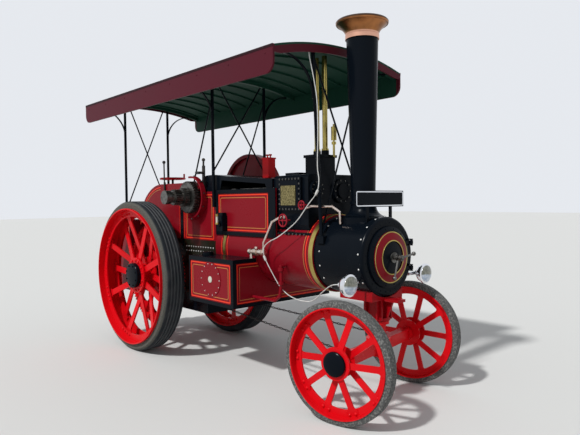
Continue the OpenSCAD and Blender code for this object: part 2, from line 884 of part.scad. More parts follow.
module smokebox_door() {
    steps = 10;
    color(black) {
        translate([door_x, 0, boiler_z])
            rotate([0, 90, 0])
                rotate_extrude($fn = 96)
                    polygon([
                        [0, 0], [door_r, 0],
                        for (i = [0 : steps]) [door_r * (1 - i / steps), dome_h(door_r * (1 - i / steps))]
                    ]);
        for (z = [-hinge_rise, hinge_rise])
            difference() {
                union() {
                    translate([hinge_x, hinge_y, boiler_z + z - hinge_eye_h / 2])
                        cylinder(h = hinge_eye_h, r = hinge_r + 6);
                    translate([door_x, hinge_y - 84, boiler_z + z - hinge_eye_h / 2])
                        cube([22, 84, hinge_eye_h]);
                }
                translate([hinge_x, hinge_y, boiler_z + z - 40]) cylinder(h = 80, r = hinge_r + seat_gap);
            }
    }
}

dart_r = 14;
dart_x = door_x + dome_h(0);
hub_ring_r = 62;

module door_ring() {
    steps = 5;
    color(maroon)
        translate([door_x + seat_gap, 0, boiler_z])
            rotate([0, 90, 0])
                rotate_extrude($fn = 96)
                    polygon([
                        for (i = [0 : steps])
                            let (r = ring_in_r + (ring_out_r - ring_in_r) * i / steps) [r, dome_h(r)],
                        for (i = [steps : -1 : 0])
                            let (r = ring_in_r + (ring_out_r - ring_in_r) * i / steps) [r, dome_h(r) + 6]
                    ]);
}

// The dart that locks the door, with its two handles
module door_dart() {
    color(steel)
        translate([dart_x + seat_gap, 0, boiler_z]) {
            rotate([0, 90, 0]) {
                cylinder(h = 92, r = dart_r);
                cylinder(h = 8, r = hub_ring_r - 20);
                translate([0, 0, 30]) cylinder(h = 22, r = 24);
                translate([0, 0, 62]) cylinder(h = 22, r = 24);
            }
            for (handle = [[41, -16], [73, 98]])
                translate([handle[0], 0, 0])
                    rotate([handle[1], 0, 0]) {
                        rotate([180, 0, 0]) cylinder(h = 150, r = 8);
                        translate([0, 0, -164]) sphere(17);
                    }
        }
}

saddle_z = boiler_z + smokebox_r;

cap_foot_z = chimney_z - 152;

// A bell base on the smokebox and a tapering barrel up into the cap
module chimney() {
    bell = 78;
    bell_z = saddle_z + 96;
    steps = 8;
    color(black)
        difference() {
            translate([chimney_x, 0, 0])
                rotate_extrude($fn = 96)
                    polygon([
                        [chimney_foot_r - chimney_t, saddle_z - 90], [chimney_foot_r + bell + 14, saddle_z - 90],
                        [chimney_foot_r + bell + 14, saddle_z - 8], [chimney_foot_r + bell, saddle_z + 2],
                        for (i = [0 : steps])
                            [chimney_foot_r + 6 + bell * (1 - sin(i * 90 / steps)),
                             bell_z - (bell_z - saddle_z - 2) * cos(i * 90 / steps)],
                        [chimney_foot_r + 12, bell_z + 4], [chimney_foot_r + 12, bell_z + 26],
                        [chimney_foot_r, bell_z + 30],
                        [chimney_top_r, cap_foot_z + 20], [chimney_top_r - chimney_t, cap_foot_z + 20],
                        [chimney_foot_r - chimney_t, bell_z + 30]
                    ]);
            along_x(smokebox_x - 10, smokebox_end + 10)
                translate([0, boiler_z]) circle(smokebox_r + seat_gap, $fn = 96);
        }
}

// The copper cap: a band, a swept cone and a rolled lip
module chimney_cap() {
    neck_r = chimney_top_r + 6;
    steps = 8;
    color(copper)
        translate([chimney_x, 0, 0])
            rotate_extrude($fn = 96)
                polygon([
                    [chimney_top_r + seat_gap, cap_foot_z], [neck_r + 2, cap_foot_z],
                    [neck_r + 2, cap_foot_z + 34], [neck_r, cap_foot_z + 37],
                    for (i = [0 : steps])
                        let (a = i / steps) [neck_r + (cap_lip_r - 14 - neck_r) * pow(a, 1.7), cap_foot_z + 40 + a * 82],
                    [cap_lip_r - 4, cap_foot_z + 122], [cap_lip_r, chimney_z - 22],
                    [cap_lip_r, chimney_z - 10], [cap_lip_r - 8, chimney_z - 1], [cap_lip_r - 18, chimney_z],
                    [cap_lip_r - 26, chimney_z - 12],
                    for (i = [steps : -1 : 1])
                        let (a = i / steps) [neck_r - 4 + (cap_lip_r - 30 - neck_r) * pow(a, 1.7), cap_foot_z + 54 + a * 78],
                    [chimney_top_r - chimney_t - 2, cap_foot_z + 54], [chimney_top_r - chimney_t - 2, cap_foot_z + 22],
                    [chimney_top_r + seat_gap, cap_foot_z + 22]
                ]);
}

plate_x = chimney_x + 170;
plate_z = 1580;
plate_w = 600;
plate_h = 130;

module number_plate() {
    color(black)
        difference() {
            union() {
                translate([plate_x, -plate_w / 2, plate_z]) cube([10, plate_w, plate_h]);
                both_sides()
                    translate([plate_x - 12, 130, boiler_z + 200]) cube([12, 30, plate_z - boiler_z - 200 + plate_h / 2]);
            }
            along_x(smokebox_x, smokebox_end + 10)
                translate([0, boiler_z]) circle(smokebox_r + seat_gap);
        }
}

lamp_x = front_x + 40;
lamp_y = 480;
lamp_z = boiler_z - 175;
lamp_r = 84;
lamp_len = 92;
lamp_arm = [16, 26];

// Headlamps with bowls, rims and glasses, on arms from the smokebox
module headlamps() {
    steps = 6;
    color(chrome)
        both_sides() {
            translate([lamp_x, lamp_y, lamp_z])
                rotate([0, 90, 0])
                    rotate_extrude()
                        polygon([
                            for (i = [0 : steps]) [(lamp_r - 8) * sin(i * 90 / steps), 8 + (lamp_len - 26) * (1 - cos(i * 90 / steps))],
                            [lamp_r - 8, lamp_len - 16], [lamp_r, lamp_len - 16], [lamp_r, lamp_len],
                            [lamp_r - 10, lamp_len + 4], [lamp_r * 0.6, lamp_len + 12], [0, lamp_len + 15]
                        ]);
            difference() {
                translate([lamp_x - 12, 220, lamp_z - lamp_arm[1] / 2])
                    cube([lamp_arm[0], lamp_y - 200, lamp_arm[1]]);
                along_x(smokebox_x, smokebox_end + 10)
                    translate([0, boiler_z]) circle(smokebox_r + seat_gap, $fn = 96);
            }
            translate([lamp_x - 6, lamp_y, lamp_z]) rotate([0, 90, 0]) cylinder(h = 24, r = 22);
        }
}

// Tank, tender and footplate

tank_x = rear_x + tank_ahead;
tank_end = tank_x + tank_len;
tank_edge = 34;
tank_top = tank_z + tank_h;
manhole_r = 164;

module belly_tank() {
    color(maroon) {
        difference() {
            translate([tank_x, -tank_w / 2, tank_z])
                cube([tank_len, tank_w, tank_h]);
            along_x(tank_x - 10, tank_end + 10)
                translate([0, boiler_z]) circle(band_r + seat_gap);
            translate([tank_x - 10, -horn_outer - seat_gap, tank_z - 10])
                cube([barrel_x + seat_gap - tank_x + 10, 2 * (horn_outer + seat_gap), tank_h + 20]);
        }
        both_sides()
            translate([tank_x + tank_len / 2, tank_w / 2 - 1, tank_z + 209])
                rotate([-90, 0, 0]) cylinder(h = 6, r = manhole_r);
        // The feed pipe up to the check valve on the barrel
        pipe([
            [tank_end - 2, -380, tank_z + 62], [rear_x + 2060, -380, tank_z + 62],
            [rear_x + 2128, -380, tank_z + 110], [rear_x + 2148, -380, tank_z + 200],
            [rear_x + 2148, -380, boiler_z - 110], [rear_x + 2148, -boiler_r + 0.8, boiler_z - 110]
        ], 15);
        for (z = [boiler_z - 268, boiler_z - 150])
            translate([rear_x + 2148, -380, z]) cylinder(h = 26, r = 26);
    }
}

// The black angles along the tank's edges, its frame and its fillers
module tank_angles() {
    t = 6;
    low = 26;
    color(black)
        both_sides() {
            y = tank_w / 2 + seat_gap;
            along_y(y, y + t)
                difference() {
                    translate([tank_x - t, tank_z - low]) square([tank_len + 2 * t + seat_gap, tank_h + low + t]);
                    translate([tank_x + 10, tank_z + 8])
                        square([tank_len - 10 - tank_edge, tank_h - 8 - tank_edge]);
                }
            translate([tank_x - t, boiler_r + 14, tank_top + seat_gap])
                cube([tank_len + 2 * t + seat_gap, y + t - boiler_r - 14, t]);
            translate([tank_end + seat_gap, y - tank_edge, tank_z - low])
                cube([t, tank_edge + t, tank_h + low + t]);
            translate([tank_end + seat_gap, boiler_r + 14, tank_top - 30])
                cube([t, y - boiler_r - 14, 30 + t]);
            translate([tank_end + seat_gap, 0, tank_z - low])
                cube([t, y + t, low + 6]);
            for (x = [tank_x + 60, tank_end - 130])
                translate([x, 250, tank_z - low])
                    cube([70, y + t - 250, low - seat_gap]);
            translate([tank_x + 130, tank_w / 2 - 130, tank_top + t])
                cylinder(h = 34, r = 56);
        }
}

tender_x = rear_x - tender_back;
tender_z = 560;
bunker_z = 1420;
plate_t = 8;

tender_len = 365;
water_h = 440;

// A water tank with an open coal bunker above it
module tender() {
    color(maroon)
        difference() {
            translate([tender_x, -tender_w / 2, tender_z])
                cube([tender_len, tender_w, bunker_z - tender_z]);
            translate([tender_x + plate_t, -tender_w / 2 + plate_t, tender_z + water_h])
                cube([tender_len - 2 * plate_t, tender_w - 2 * plate_t, bunker_z]);
        }
}

floor_z = 760;
floor_w = 690;
floor_t = 20;
floor_x0 = tender_x + tender_len + seat_gap;
floor_x1 = horn_back - seat_gap;
side_h = 460;

column_x = tender_x + tender_len + 20;
wheel_y = 166;

module footplate() {
    color(maroon) {
        difference() {
            translate([floor_x0, -floor_w / 2, floor_z])
                cube([floor_x1 - floor_x0, floor_w, floor_t]);
            translate([column_x, wheel_y, floor_z - 1]) cylinder(h = floor_t + 2, r = 22);
        }
        both_sides()
            translate([floor_x0, floor_w / 2 - plate_t, floor_z])
                cube([floor_x1 - floor_x0, plate_t, side_h]);
    }
}

pin_r = 16;
pin_inset = 36;

module drawbar() {
    color(black)
        difference() {
            union() {
                translate([rear_x - rear_reach + pin_inset, -pin_inset, 590])
                    cube([rear_reach - pin_inset - tender_back - seat_gap, 2 * pin_inset, 110]);
                translate([rear_x - rear_reach + pin_inset, 0, 590]) cylinder(h = 110, r = pin_inset);
                translate([tender_x - 12 - seat_gap, -150, 560]) cube([12, 300, 170]);
            }
            translate([rear_x - rear_reach + pin_inset, 0, 580])
                cylinder(h = 130, r = pin_r);
            translate([rear_x - rear_reach - 10, -80, 618])
                cube([72, 160, 54]);
        }
}

column_y = 345;
column_r = 16;
wheel_at = [column_x, wheel_y, 1922];
steer_wheel_r = 165;
shaft_z = 700;
shaft_foot = [rear_x + 1060, column_y, 604];

// An upright column with a level hand wheel, and the long shaft to the chain roll's worm
module steering_column() {
    color(black) {
        translate([wheel_at.x, wheel_at.y, shaft_z])
            cylinder(h = wheel_at.z - shaft_z, r = 14);
        translate([wheel_at.x - 14, wheel_at.y - 30, shaft_z - 40])
            cube([56, column_y - wheel_at.y + 60, floor_z - shaft_z + 40 - seat_gap]);
        rod([wheel_at.x + 10, column_y, shaft_z], shaft_foot, column_r);
        translate([rear_x + 560, horn_outer + seat_gap, 618])
            cube([60, column_y - horn_outer, 100]);
    }
}

// The steersman's hand wheel
module steering_wheel() {
    color(bright_red)
        translate(wheel_at) {
            translate([0, 0, seat_gap]) cylinder(h = 30, r = 26);
            translate([0, 0, 16]) {
                rotate_extrude() translate([steer_wheel_r - 13, 0]) circle(13, $fn = 24);
                for (i = [0 : 3])
                    rotate([0, 90, 45 + i * 90]) cylinder(h = steer_wheel_r - 12, r = 9);
            }
            translate([steer_wheel_r * 0.68, steer_wheel_r * 0.62, 16]) cylinder(h = 60, r = 11);
        }
}

// The fire-hole door, gauge glasses, regulator and dials on the boiler's back
module backhead() {
    back = firebox_back - seat_gap;
    color(black) {
        translate([back - 16, -210, 860]) cube([16, 420, 560]);
        translate([back - 34, -120, 930]) cube([20, 240, 190]);
        rod([back - 40, 0, 1400], [back - 10, 0, 1400], 30);
        rod([back - 52, 0, 1400], [back - 52, 190, 1430], 9);
        rod([back - 60, 0, 1400], [back - 30, 0, 1400], 14);
        for (y = [-90, 90])
            rod([back - 44, y, 1190], [back - 44, y, 1370], 12);
        for (y = [-90, 90])
            for (z = [1200, 1360])
                rod([back - 50, y, z], [back - 10, y, z], 13);
        rod([back - 30, -150, 1470], [back - 13, -150, 1400], 10);
        rod([back - 50, -150, 1478], [back - 18, -150, 1478], 62);
    }
}

roll_x = rear_x + 1130;
roll_z = 600;
roll_r = 50;
roll_half = 300;
worm_wheel_r = 62;

// The roll hangs under the front of the firebox and winds one chain as it pays out the other
module steering_roll() {
    color(black)
        translate([roll_x, 0, roll_z]) {
            disc_y(roll_r, -230, 230);
            disc_y(22, -roll_half, column_y + 12);
            disc_y(worm_wheel_r, column_y - 14, column_y + 12);
            both_sides()
                along_y(roll_half - 46, roll_half - 22)
                    union() {
                        circle(40);
                        translate([-100, -18]) square([100, firebox_z - roll_z + 18 - seat_gap]);
                    }
        }
}

chain_pin_r = 9;
chain_back = 20;
chain_end_y = 200;
chain_clear = 8;
chain_half = 11;
link_t = 8;
link_pitch = 46;
eye_x = -front_axle_r - 56;

// One steering chain from its eye on the axle back to the underside of the roll
module steering_chain(side) {
    eye = [
        front_x + eye_x * cos(steer_rest) - side * chain_eye_y * sin(steer_rest),
        eye_x * sin(steer_rest) + side * chain_eye_y * cos(steer_rest),
        front_tyre_r
    ];
    tail = [roll_x - chain_back, side * chain_end_y, roll_z - roll_r - chain_clear - chain_half];
    span = tail - eye;
    count = floor(norm(span) / link_pitch);
    translate(eye)
        rotate([0, -asin(span.z / norm(span)), atan2(span.y, span.x)]) {
            difference() {
                cylinder(h = link_t, r = 20, center = true);
                cylinder(h = link_t + 2, r = chain_pin_r + seat_gap, center = true);
            }
            for (i = [0 : count - 1])
                translate([16 + i * (norm(span) - 16) / count, 0, 0])
                    rotate([i % 2 == 0 ? 0 : 90, 0, 0])
                        translate([0, -chain_half, -link_t / 2])
                            cube([norm(span) / count, 2 * chain_half, link_t]);
        }
}

module steering_chain_right() {
    color(black) steering_chain(-1);
}

module steering_chain_left() {
    color(black) steering_chain(1);
}

// Gearing

main_teeth = 94;
pinion_teeth = 22;
gear_module = 12;
counter_z = 1330;
counter_span = (main_teeth + pinion_teeth) * gear_module / 2;
counter_x = rear_x + sqrt(pow(counter_span, 2) - pow(counter_z - rear_tyre_r, 2));

module final_gears() {
    gear_y = [-horn_outer - 130, -horn_outer - 60];
    main_r = main_teeth * gear_module / 2;
    color(bright_red)
        translate([rear_x, 0, rear_tyre_r]) {
            along_y(gear_y[0], gear_y[1])
                difference() {
                    gear_outline(main_teeth, main_r - 14, main_r + 10);
                    circle(main_r - 60);
                }
            along_y(gear_y[0] + 20, gear_y[1] - 20)
                difference() {
                    circle(main_r - 50);
                    circle(rear_axle_r + 30 + seat_gap);
                    for (i = [0 : 7])
                        rotate(i * 45) translate([main_r / 2 + 60, 0]) circle(110);
                }
        }
}

guard_r = [205, 222];
guard_y = [-390, -340];

// A ring's sector between two angles, in X and Z
module ring_sector(inner, outer, a0, a1) {
    steps = 24;
    polygon([
        for (i = [0 : steps]) outer * [cos(a0 + (a1 - a0) * i / steps), sin(a0 + (a1 - a0) * i / steps)],
        for (i = [steps : -1 : 0]) inner * [cos(a0 + (a1 - a0) * i / steps), sin(a0 + (a1 - a0) * i / steps)]
    ]);
}

// A hoop over the crankshaft's gears, fastened to the horn plate by its lower front
module gear_guard() {
    color(maroon)
        translate([crank_x, 0, crank_z]) {
            along_y(guard_y[0], guard_y[1]) ring_sector(guard_r[0], guard_r[1], -105, 100);
            along_y(guard_y[1] - 1, -horn_outer - seat_gap) ring_sector(guard_r[0], guard_r[1], -100, -10);
        }
}

// The selector and the two change-speed levers
module gear_levers() {
    y = -horn_outer - seat_gap - 12;
    color(steel) {
        translate([rear_x + 868, y - 6, horn_top_z - 60]) cube([34, 18, 330]);
        rod([rear_x + 885, y, 1940], [rear_x + 890, y, 2070], 10);
        translate([rear_x + 890, y, 2070]) sphere(18);
        rod([rear_x + 890, y, 1936], [rear_x + 890, -420, 1936], 13);
        translate([rear_x + 865, -420, 1920]) cube([70, 24, 26]);
        translate([rear_x + 70, y - 6, hump_z - 70]) cube([20, 18, 90]);
        rod([rear_x + 80, y, hump_z - 10], [rear_x + 76, y, 2086], 8);
        translate([rear_x + 76, y, 2092]) sphere(19);
    }
}

// Three gears of different size slide on the shaft; parked, none of them meshes
module crankshaft() {
    color(steel)
        translate([crank_x, 0, crank_z]) {
            disc_y(crank_r, -crank_reach, flywheel_y - 5);
            disc_y(70, -crank_reach, -640);
            disc_y(56, -641, -599);
            along_y(-600, -520) gear_outline(18, 68, 82);
            disc_y(60, -521, -499);
            along_y(-500, -445) gear_outline(22, 82, 97);
            disc_y(60, -446, -434);
            along_y(-435, -375) gear_outline(36, crank_gear_r - 16, crank_gear_r);
        }
}

// A closed disc with a rim and a boss
module flywheel() {
    color(maroon)
        translate([crank_x, 0, crank_z]) {
            difference() {
                disc_y(flywheel_r, flywheel_y - flywheel_w, flywheel_y, crank_r + seat_gap);
                disc_y(flywheel_r - 40, flywheel_y - flywheel_w - 1, flywheel_y - flywheel_w + 35);
                disc_y(flywheel_r - 40, flywheel_y - 35, flywheel_y + 1);
            }
            disc_y(110, flywheel_y - flywheel_w, flywheel_y - 8, crank_r + seat_gap);
        }
}

// Canopy

canopy_x0 = rear_x - canopy_back;
canopy_x1 = rear_x + canopy_front;
canopy_half = canopy_w / 2;
roof_r = (pow(canopy_half, 2) + pow(canopy_rise, 2)) / (2 * canopy_rise);
roof_centre_z = canopy_side_z + canopy_rise - roof_r;

module roof_band(top, thick) {
    intersection() {
        difference() {
            translate([0, roof_centre_z]) circle(roof_r + top, $fn = 200);
            translate([0, roof_centre_z]) circle(roof_r + top - thick, $fn = 200);
        }
        translate([-canopy_half, canopy_side_z - 60]) square([canopy_w, 400]);
    }
}

module canopy_roof() {
    color(green)
        along_x(canopy_x0, canopy_x1)
            roof_band(0, roof_t);
}

fascia_t = 18;

valance_h = 60;
board_r = 90;

// Side boards with rounded lower corners, and a narrow valance at each end
module canopy_fascias() {
    low = canopy_side_z - fascia_h;
    color(maroon) {
        both_sides()
            along_y(canopy_half + seat_gap, canopy_half + fascia_t) {
                translate([canopy_x0, low + board_r])
                    square([canopy_x1 - canopy_x0, fascia_h - board_r]);
                translate([canopy_x0 + board_r, low])
                    square([canopy_x1 - canopy_x0 - 2 * board_r, fascia_h]);
                for (x = [canopy_x0 + board_r, canopy_x1 - board_r])
                    translate([x, low + board_r]) circle(board_r);
            }
        for (x = [canopy_x0, canopy_x1 - 14])
            along_x(x, x + 14) roof_band(-roof_t - seat_gap, valance_h);
    }
}

rib_h = 40;
rear_post_x = rear_x - 941;
mid_post_x = rear_x + 1072;
front_foot_x = rear_x + 2570;
front_top_x = rear_x + 2490;

module canopy_ribs() {
    color(maroon)
        for (x = [rear_post_x, mid_post_x, front_top_x])
            along_x(x - 20, x + 20)
                roof_band(-roof_t - seat_gap, rib_h);
}

post_y = 304;
mid_post_y = horn_outer + post_r + seat_gap;
post_top_z = roof_centre_z + sqrt(pow(roof_r - roof_t - rib_h - seat_gap, 2) - pow(mid_post_y + post_r, 2)) - 1;
foot_z = boiler_z + 155;

brace_r = 8;
bracket_r = [318, 330];

// Height of a rib's underside at a distance from the centre line
function rib_low(y) = roof_centre_z + sqrt(pow(roof_r - roof_t - rib_h - seat_gap, 2) - pow(y, 2)) - 1;

// A quarter-round bracket from a post out to the roof's edge
module post_bracket(x, y) {
    along_x(x - 10, x + 10)
        translate([y + bracket_r[1] - 6, rib_low(y + bracket_r[1] - 6) - bracket_r[1]])
            intersection() {
                difference() {
                    circle(bracket_r[1]);
                    circle(bracket_r[0]);
                }
                translate([-400, 0]) square([400, 400]);
            }
}

// Posts, their roof brackets and the main stays
module canopy_posts() {
    color(black) {
        both_sides() {
            rod([rear_post_x, post_y, tender_z + water_h + seat_gap], [rear_post_x, post_y, post_top_z], post_r);
            rod([mid_post_x, mid_post_y, horn_top_z - 158], [mid_post_x, mid_post_y, post_top_z], post_r);
            rod([front_foot_x, post_y, foot_z], [front_top_x, post_y, post_top_z], post_r);
            post_bracket(rear_post_x, post_y);
            post_bracket(mid_post_x, mid_post_y);
            post_bracket(front_top_x, post_y);
            difference() {
                translate([front_foot_x - 40, post_y - 60, foot_z - 50]) cube([80, 80, 60]);
                along_x(smokebox_x, smokebox_end)
                    translate([0, boiler_z]) circle(smokebox_r + seat_gap);
            }
            // Cross stays over the tender, the cover and the smokebox
            rod([rear_post_x, -240, post_top_z], [rear_post_x, post_y, 1540], brace_r);
            rod([mid_post_x, -285, post_top_z], [mid_post_x, mid_post_y, 1940], brace_r);
            rod([front_foot_x - 2, -post_y, foot_z + 30], [front_top_x, post_y, post_top_z - 20], brace_r);
            // Stay down to the horn plate's hump
            rod([mid_post_x, mid_post_y, 2700], [rear_x + 676, horn_outer - 7, hump_z + 8], brace_r);
            translate([rear_x + 650, horn_outer - 16, hump_z + seat_gap]) cube([52, 18, 12]);
        }
    }
}

boiler_barrel();
boiler_bands();
firebox();
ashpan();
horn_plates();
side_panels();
panel_frames();
motion_cover();
motion_work();
cylinder_block();
valve_chests();
brass_fittings();
smokebox();
smokebox_door();
door_ring();
door_dart();
chimney();
chimney_cap();
number_plate();
headlamps();
belly_tank();
tank_angles();
perch_bracket();
front_axle();
front_caps();
front_wheel_right();
front_tyre_right();
front_wheel_left();
front_tyre_left();
steering_roll();
steering_chain_right();
steering_chain_left();
rear_axle();
rear_wheel_right();
rear_tyre_right();
rear_wheel_left();
rear_tyre_left();
final_gears();
gear_guard();
gear_levers();
crankshaft();
flywheel();
tender();
footplate();
drawbar();
steering_column();
steering_wheel();
backhead();
canopy_roof();
canopy_fascias();
canopy_ribs();
canopy_posts();
feed_pipes();
hand_wheels();
lubricator();
oil_box();
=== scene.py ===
import bpy
import json
import math
from mathutils import Matrix, Vector


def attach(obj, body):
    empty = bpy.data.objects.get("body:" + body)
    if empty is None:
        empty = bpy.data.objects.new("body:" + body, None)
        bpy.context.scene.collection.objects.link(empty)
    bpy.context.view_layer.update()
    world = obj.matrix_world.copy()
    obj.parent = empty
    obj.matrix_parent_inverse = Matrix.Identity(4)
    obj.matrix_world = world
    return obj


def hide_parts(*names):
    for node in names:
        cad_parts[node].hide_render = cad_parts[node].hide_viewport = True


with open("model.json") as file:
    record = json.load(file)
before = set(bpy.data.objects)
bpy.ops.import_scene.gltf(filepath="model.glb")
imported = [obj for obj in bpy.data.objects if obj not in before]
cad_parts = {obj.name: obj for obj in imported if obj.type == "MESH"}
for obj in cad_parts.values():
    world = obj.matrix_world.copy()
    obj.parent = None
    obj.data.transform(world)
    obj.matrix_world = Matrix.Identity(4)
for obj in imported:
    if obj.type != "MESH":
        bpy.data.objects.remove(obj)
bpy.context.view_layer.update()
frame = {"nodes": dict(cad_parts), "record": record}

# Camera
LENS_MM = 34.72
SENSOR_MM = 36
AZIMUTH = math.radians(41.97)
PITCH = math.radians(-1.702)
ROLL = math.radians(-0.652)
CAMERA_AT = Vector((4.5878, -3.5493, 1.6357))


def camera_matrix():
    forward = Vector((
        -math.cos(AZIMUTH) * math.cos(PITCH),
        math.sin(AZIMUTH) * math.cos(PITCH),
        math.sin(PITCH),
    ))
    right = forward.cross(Vector((0, 0, 1))).normalized()
    up = right.cross(forward)
    turned_right = right * math.cos(ROLL) + up * math.sin(ROLL)
    turned_up = up * math.cos(ROLL) - right * math.sin(ROLL)
    turn = Matrix((turned_right, turned_up, -forward)).transposed().to_4x4()
    return Matrix.Translation(CAMERA_AT) @ turn


camera = bpy.data.objects.new("camera", bpy.data.cameras.new("camera"))
bpy.context.scene.collection.objects.link(camera)
camera.data.lens = LENS_MM
camera.data.sensor_width = SENSOR_MM
camera.matrix_world = camera_matrix()
bpy.context.scene.camera = camera

# Sizes repeated from part.scad, in metres; those named AHEAD count from the rear axle
REAR_X = -1.20806
FRONT_X = REAR_X + 2.905
REAR_TRACK_HALF = 0.635
REAR_RIM_R = 0.7473
REAR_TYRE_R = 0.825
REAR_TYRE_HALF = 0.113
REAR_SPOKES = 7
REAR_TURN = 152.3
REAR_RING_FACE = 0.075
FRONT_TRACK_HALF = 0.602
FRONT_RIM_R = 0.4083
FRONT_TYRE_R = 0.452
FRONT_SPOKES = 10
STEER_REST = math.radians(10.6)
CHAIN_EYE_BACK = 0.088
CHAIN_EYE_Y = 0.330
BOILER_Z = 1.180
BOILER_R = 0.334
BAND_T = 0.014
SMOKEBOX_R = 0.321
SMOKEBOX_END = REAR_X + 3.012
CHIMNEY_X = REAR_X + 2.760
NUMBER_PLATE_FACE = CHIMNEY_X + 0.180
CRANK = Vector((REAR_X + 0.720, 0, 1.685))
SIDE_Y = 0.319
BLOCK_Y = 0.285
TANK_END = REAR_X + 1.757
TANK_Y = 0.608
MANHOLE_AHEAD = 1.400
MANHOLE_Z = 0.907
LAMP_X = FRONT_X + 0.040
LAMP_Y = 0.480
LAMP_Z = 1.005
TENDER_BACK = 0.975
TENDER_Y = 0.430
CANOPY_SPAN = (-0.992, 2.553)
CANOPY_Y = 0.789
CANOPY_ARCHES_AHEAD = (-0.956, 2.516)
CANOPY_RIBS_AHEAD = (-0.941, 1.072, 2.490)
ROOF_HALF = 0.771
ROOF_SIDE_Z = 2.828
ROOF_RISE = 0.105

# Grooves of the rear tyres
GROOVES = (-0.054, -0.018, 0.018, 0.054)
GROOVE_HALF_PITCH = 0.018

# The radius that a turned piece keeps on its axis, and the angle in radians from which its edges
# stay sharp
CORE = 0.0001
SHARP_TURN = 0.6

# How far lines reach into the face they lie on, and how far rings stand out from it
STRIPE_SUNK = 0.0002
RING_SUNK = 0.0003
RING_RISE = 0.0008

SIDES = ((-1, "right"), (1, "left"))


# Shader expressions
class Field:
    """A number or colour inside a finish; sums and products on it add Math nodes."""

    def __init__(self, finish, socket):
        self.finish = finish
        self.socket = socket

    def maths(self, operation, *values):
        return self.finish.node("ShaderNodeMath", {"operation": operation}, dict(enumerate(values)))

    def __add__(self, other):
        return self.maths("ADD", self, other)

    __radd__ = __add__

    def __sub__(self, other):
        return self.maths("SUBTRACT", self, other)

    def __rsub__(self, other):
        return self.maths("SUBTRACT", other, self)

    def __mul__(self, other):
        return self.maths("MULTIPLY", self, other)

    def clamped(self):
        return self.finish.node("ShaderNodeClamp", {}, {0: self})

    def ramp(self, low, high):
        """0 at low and 1 at high, smooth between them; low may be the larger."""
        return self.finish.node(
            "ShaderNodeMapRange", {"interpolation_type": "SMOOTHSTEP"}, {0: self, 1: low, 2: high},
        )


class Finish:
    """One material, with one method that adds any node."""

    def __init__(self, name, roughness=0.4, metallic=0.0, coat=0.0, shine=0.5):
        self.material = bpy.data.materials.new(name)
        self.material.use_nodes = True
        self.tree = self.material.node_tree
        self.surface = self.tree.nodes["Principled BSDF"]
        self.surface.inputs["Roughness"].default_value = roughness
        self.surface.inputs["Metallic"].default_value = metallic
        self.surface.inputs["Coat Weight"].default_value = coat
        self.surface.inputs["Coat Roughness"].default_value = 0.08
        self.surface.inputs["Specular IOR Level"].default_value = shine
        self.place = self.node("ShaderNodeTexCoord", {}, {}, "Object")

    def node(self, kind, settings, values, output=0):
        made = self.tree.nodes.new(kind)
        for name, value in settings.items():
            setattr(made, name, value)
        for name, value in values.items():
            self.feed(made.inputs[name], value)
        return Field(self, made.outputs[output])

    def feed(self, socket, value):
        if isinstance(value, Field):
            self.tree.links.new(value.socket, socket)
        elif isinstance(value, (tuple, list)) and len(value) == 3 and socket.type == "RGBA":
            socket.default_value = (*value, 1)
        else:
            socket.default_value = value

    def noise(self, scale, detail=4.0):
        return self.node("ShaderNodeTexNoise", {}, {"Vector": self.place, "Scale": scale, "Detail": detail})

    def axis(self, name):
        return self.node("ShaderNodeSeparateXYZ", {}, {0: self.place}, name)

    def mix(self, amount, first, second):
        """Two colours mixed; inputs 6 and 7 and output 2 are the node's colour sockets."""
        made = self.tree.nodes.new("ShaderNodeMix")
        made.data_type = "RGBA"
        self.feed(made.inputs[0], amount)
        self.feed(made.inputs[6], first)
        self.feed(made.inputs[7], second)
        return Field(self, made.outputs[2])

    def paint(self, **sockets):
        for name, value in sockets.items():
            self.feed(self.surface.inputs[name.replace("_", " ")], value)
        return self

    def bump(self, height, strength, distance):
        normal = self.node(
            "ShaderNodeBump", {}, {"Height": height, "Strength": strength, "Distance": distance},
        )
        self.feed(self.surface.inputs["Normal"], normal)
        return self


def gloss_paint(name, colour, dull, roughness=0.2, coat=0.02, second=None, split=None, shine=0.09):
    """Coach paint: faint orange peel, uneven gloss and a film of dust; second lies below split."""
    made = Finish(name, roughness, coat=coat, shine=shine)
    clouds = made.noise(3.0)
    fine = made.noise(60.0, 2.0)
    base = colour
    if second:
        base = made.mix(made.axis("Z").ramp(split - 0.001, split + 0.001), second, colour)
    made.paint(
        Base_Color=made.mix((clouds.ramp(0.5, 0.75) * 0.35).clamped(), base, dull),
        Roughness=roughness + clouds * 0.12 + fine * 0.06,
    )
    return made.bump(fine, 0.04, 0.001)


def bare_metal(name, colour, tarnish, roughness, scale=8.0):
    """Polished metal with tarnish clouds and fine scratches."""
    made = Finish(name, roughness, metallic=1.0)
    clouds = made.noise(scale)
    fine = made.noise(scale * 18, 3.0)
    made.paint(
        Base_Color=made.mix((clouds.ramp(0.4, 0.72) * 0.75).clamped(), colour, tarnish),
        Roughness=roughness + clouds * 0.18 + fine * 0.08,
    )
    return made.bump(fine, 0.08, 0.001)


def tyre_rubber(name, colour, worn, mottle, grain):
    """Weathered rubber with pale scuffs, and a coarse grain where grain is high."""
    made = Finish(name, 0.82, shine=0.2)
    clouds = made.noise(mottle, 6.0)
    fine = made.noise(110.0, 3.0)
    made.paint(
        Base_Color=made.mix((clouds.ramp(0.42, 0.7) * 0.7 + fine * 0.2).clamped(), colour, worn),
        Roughness=0.7 + fine * 0.2,
    )
    return made.bump(clouds * 0.5 + fine, grain, 0.004)


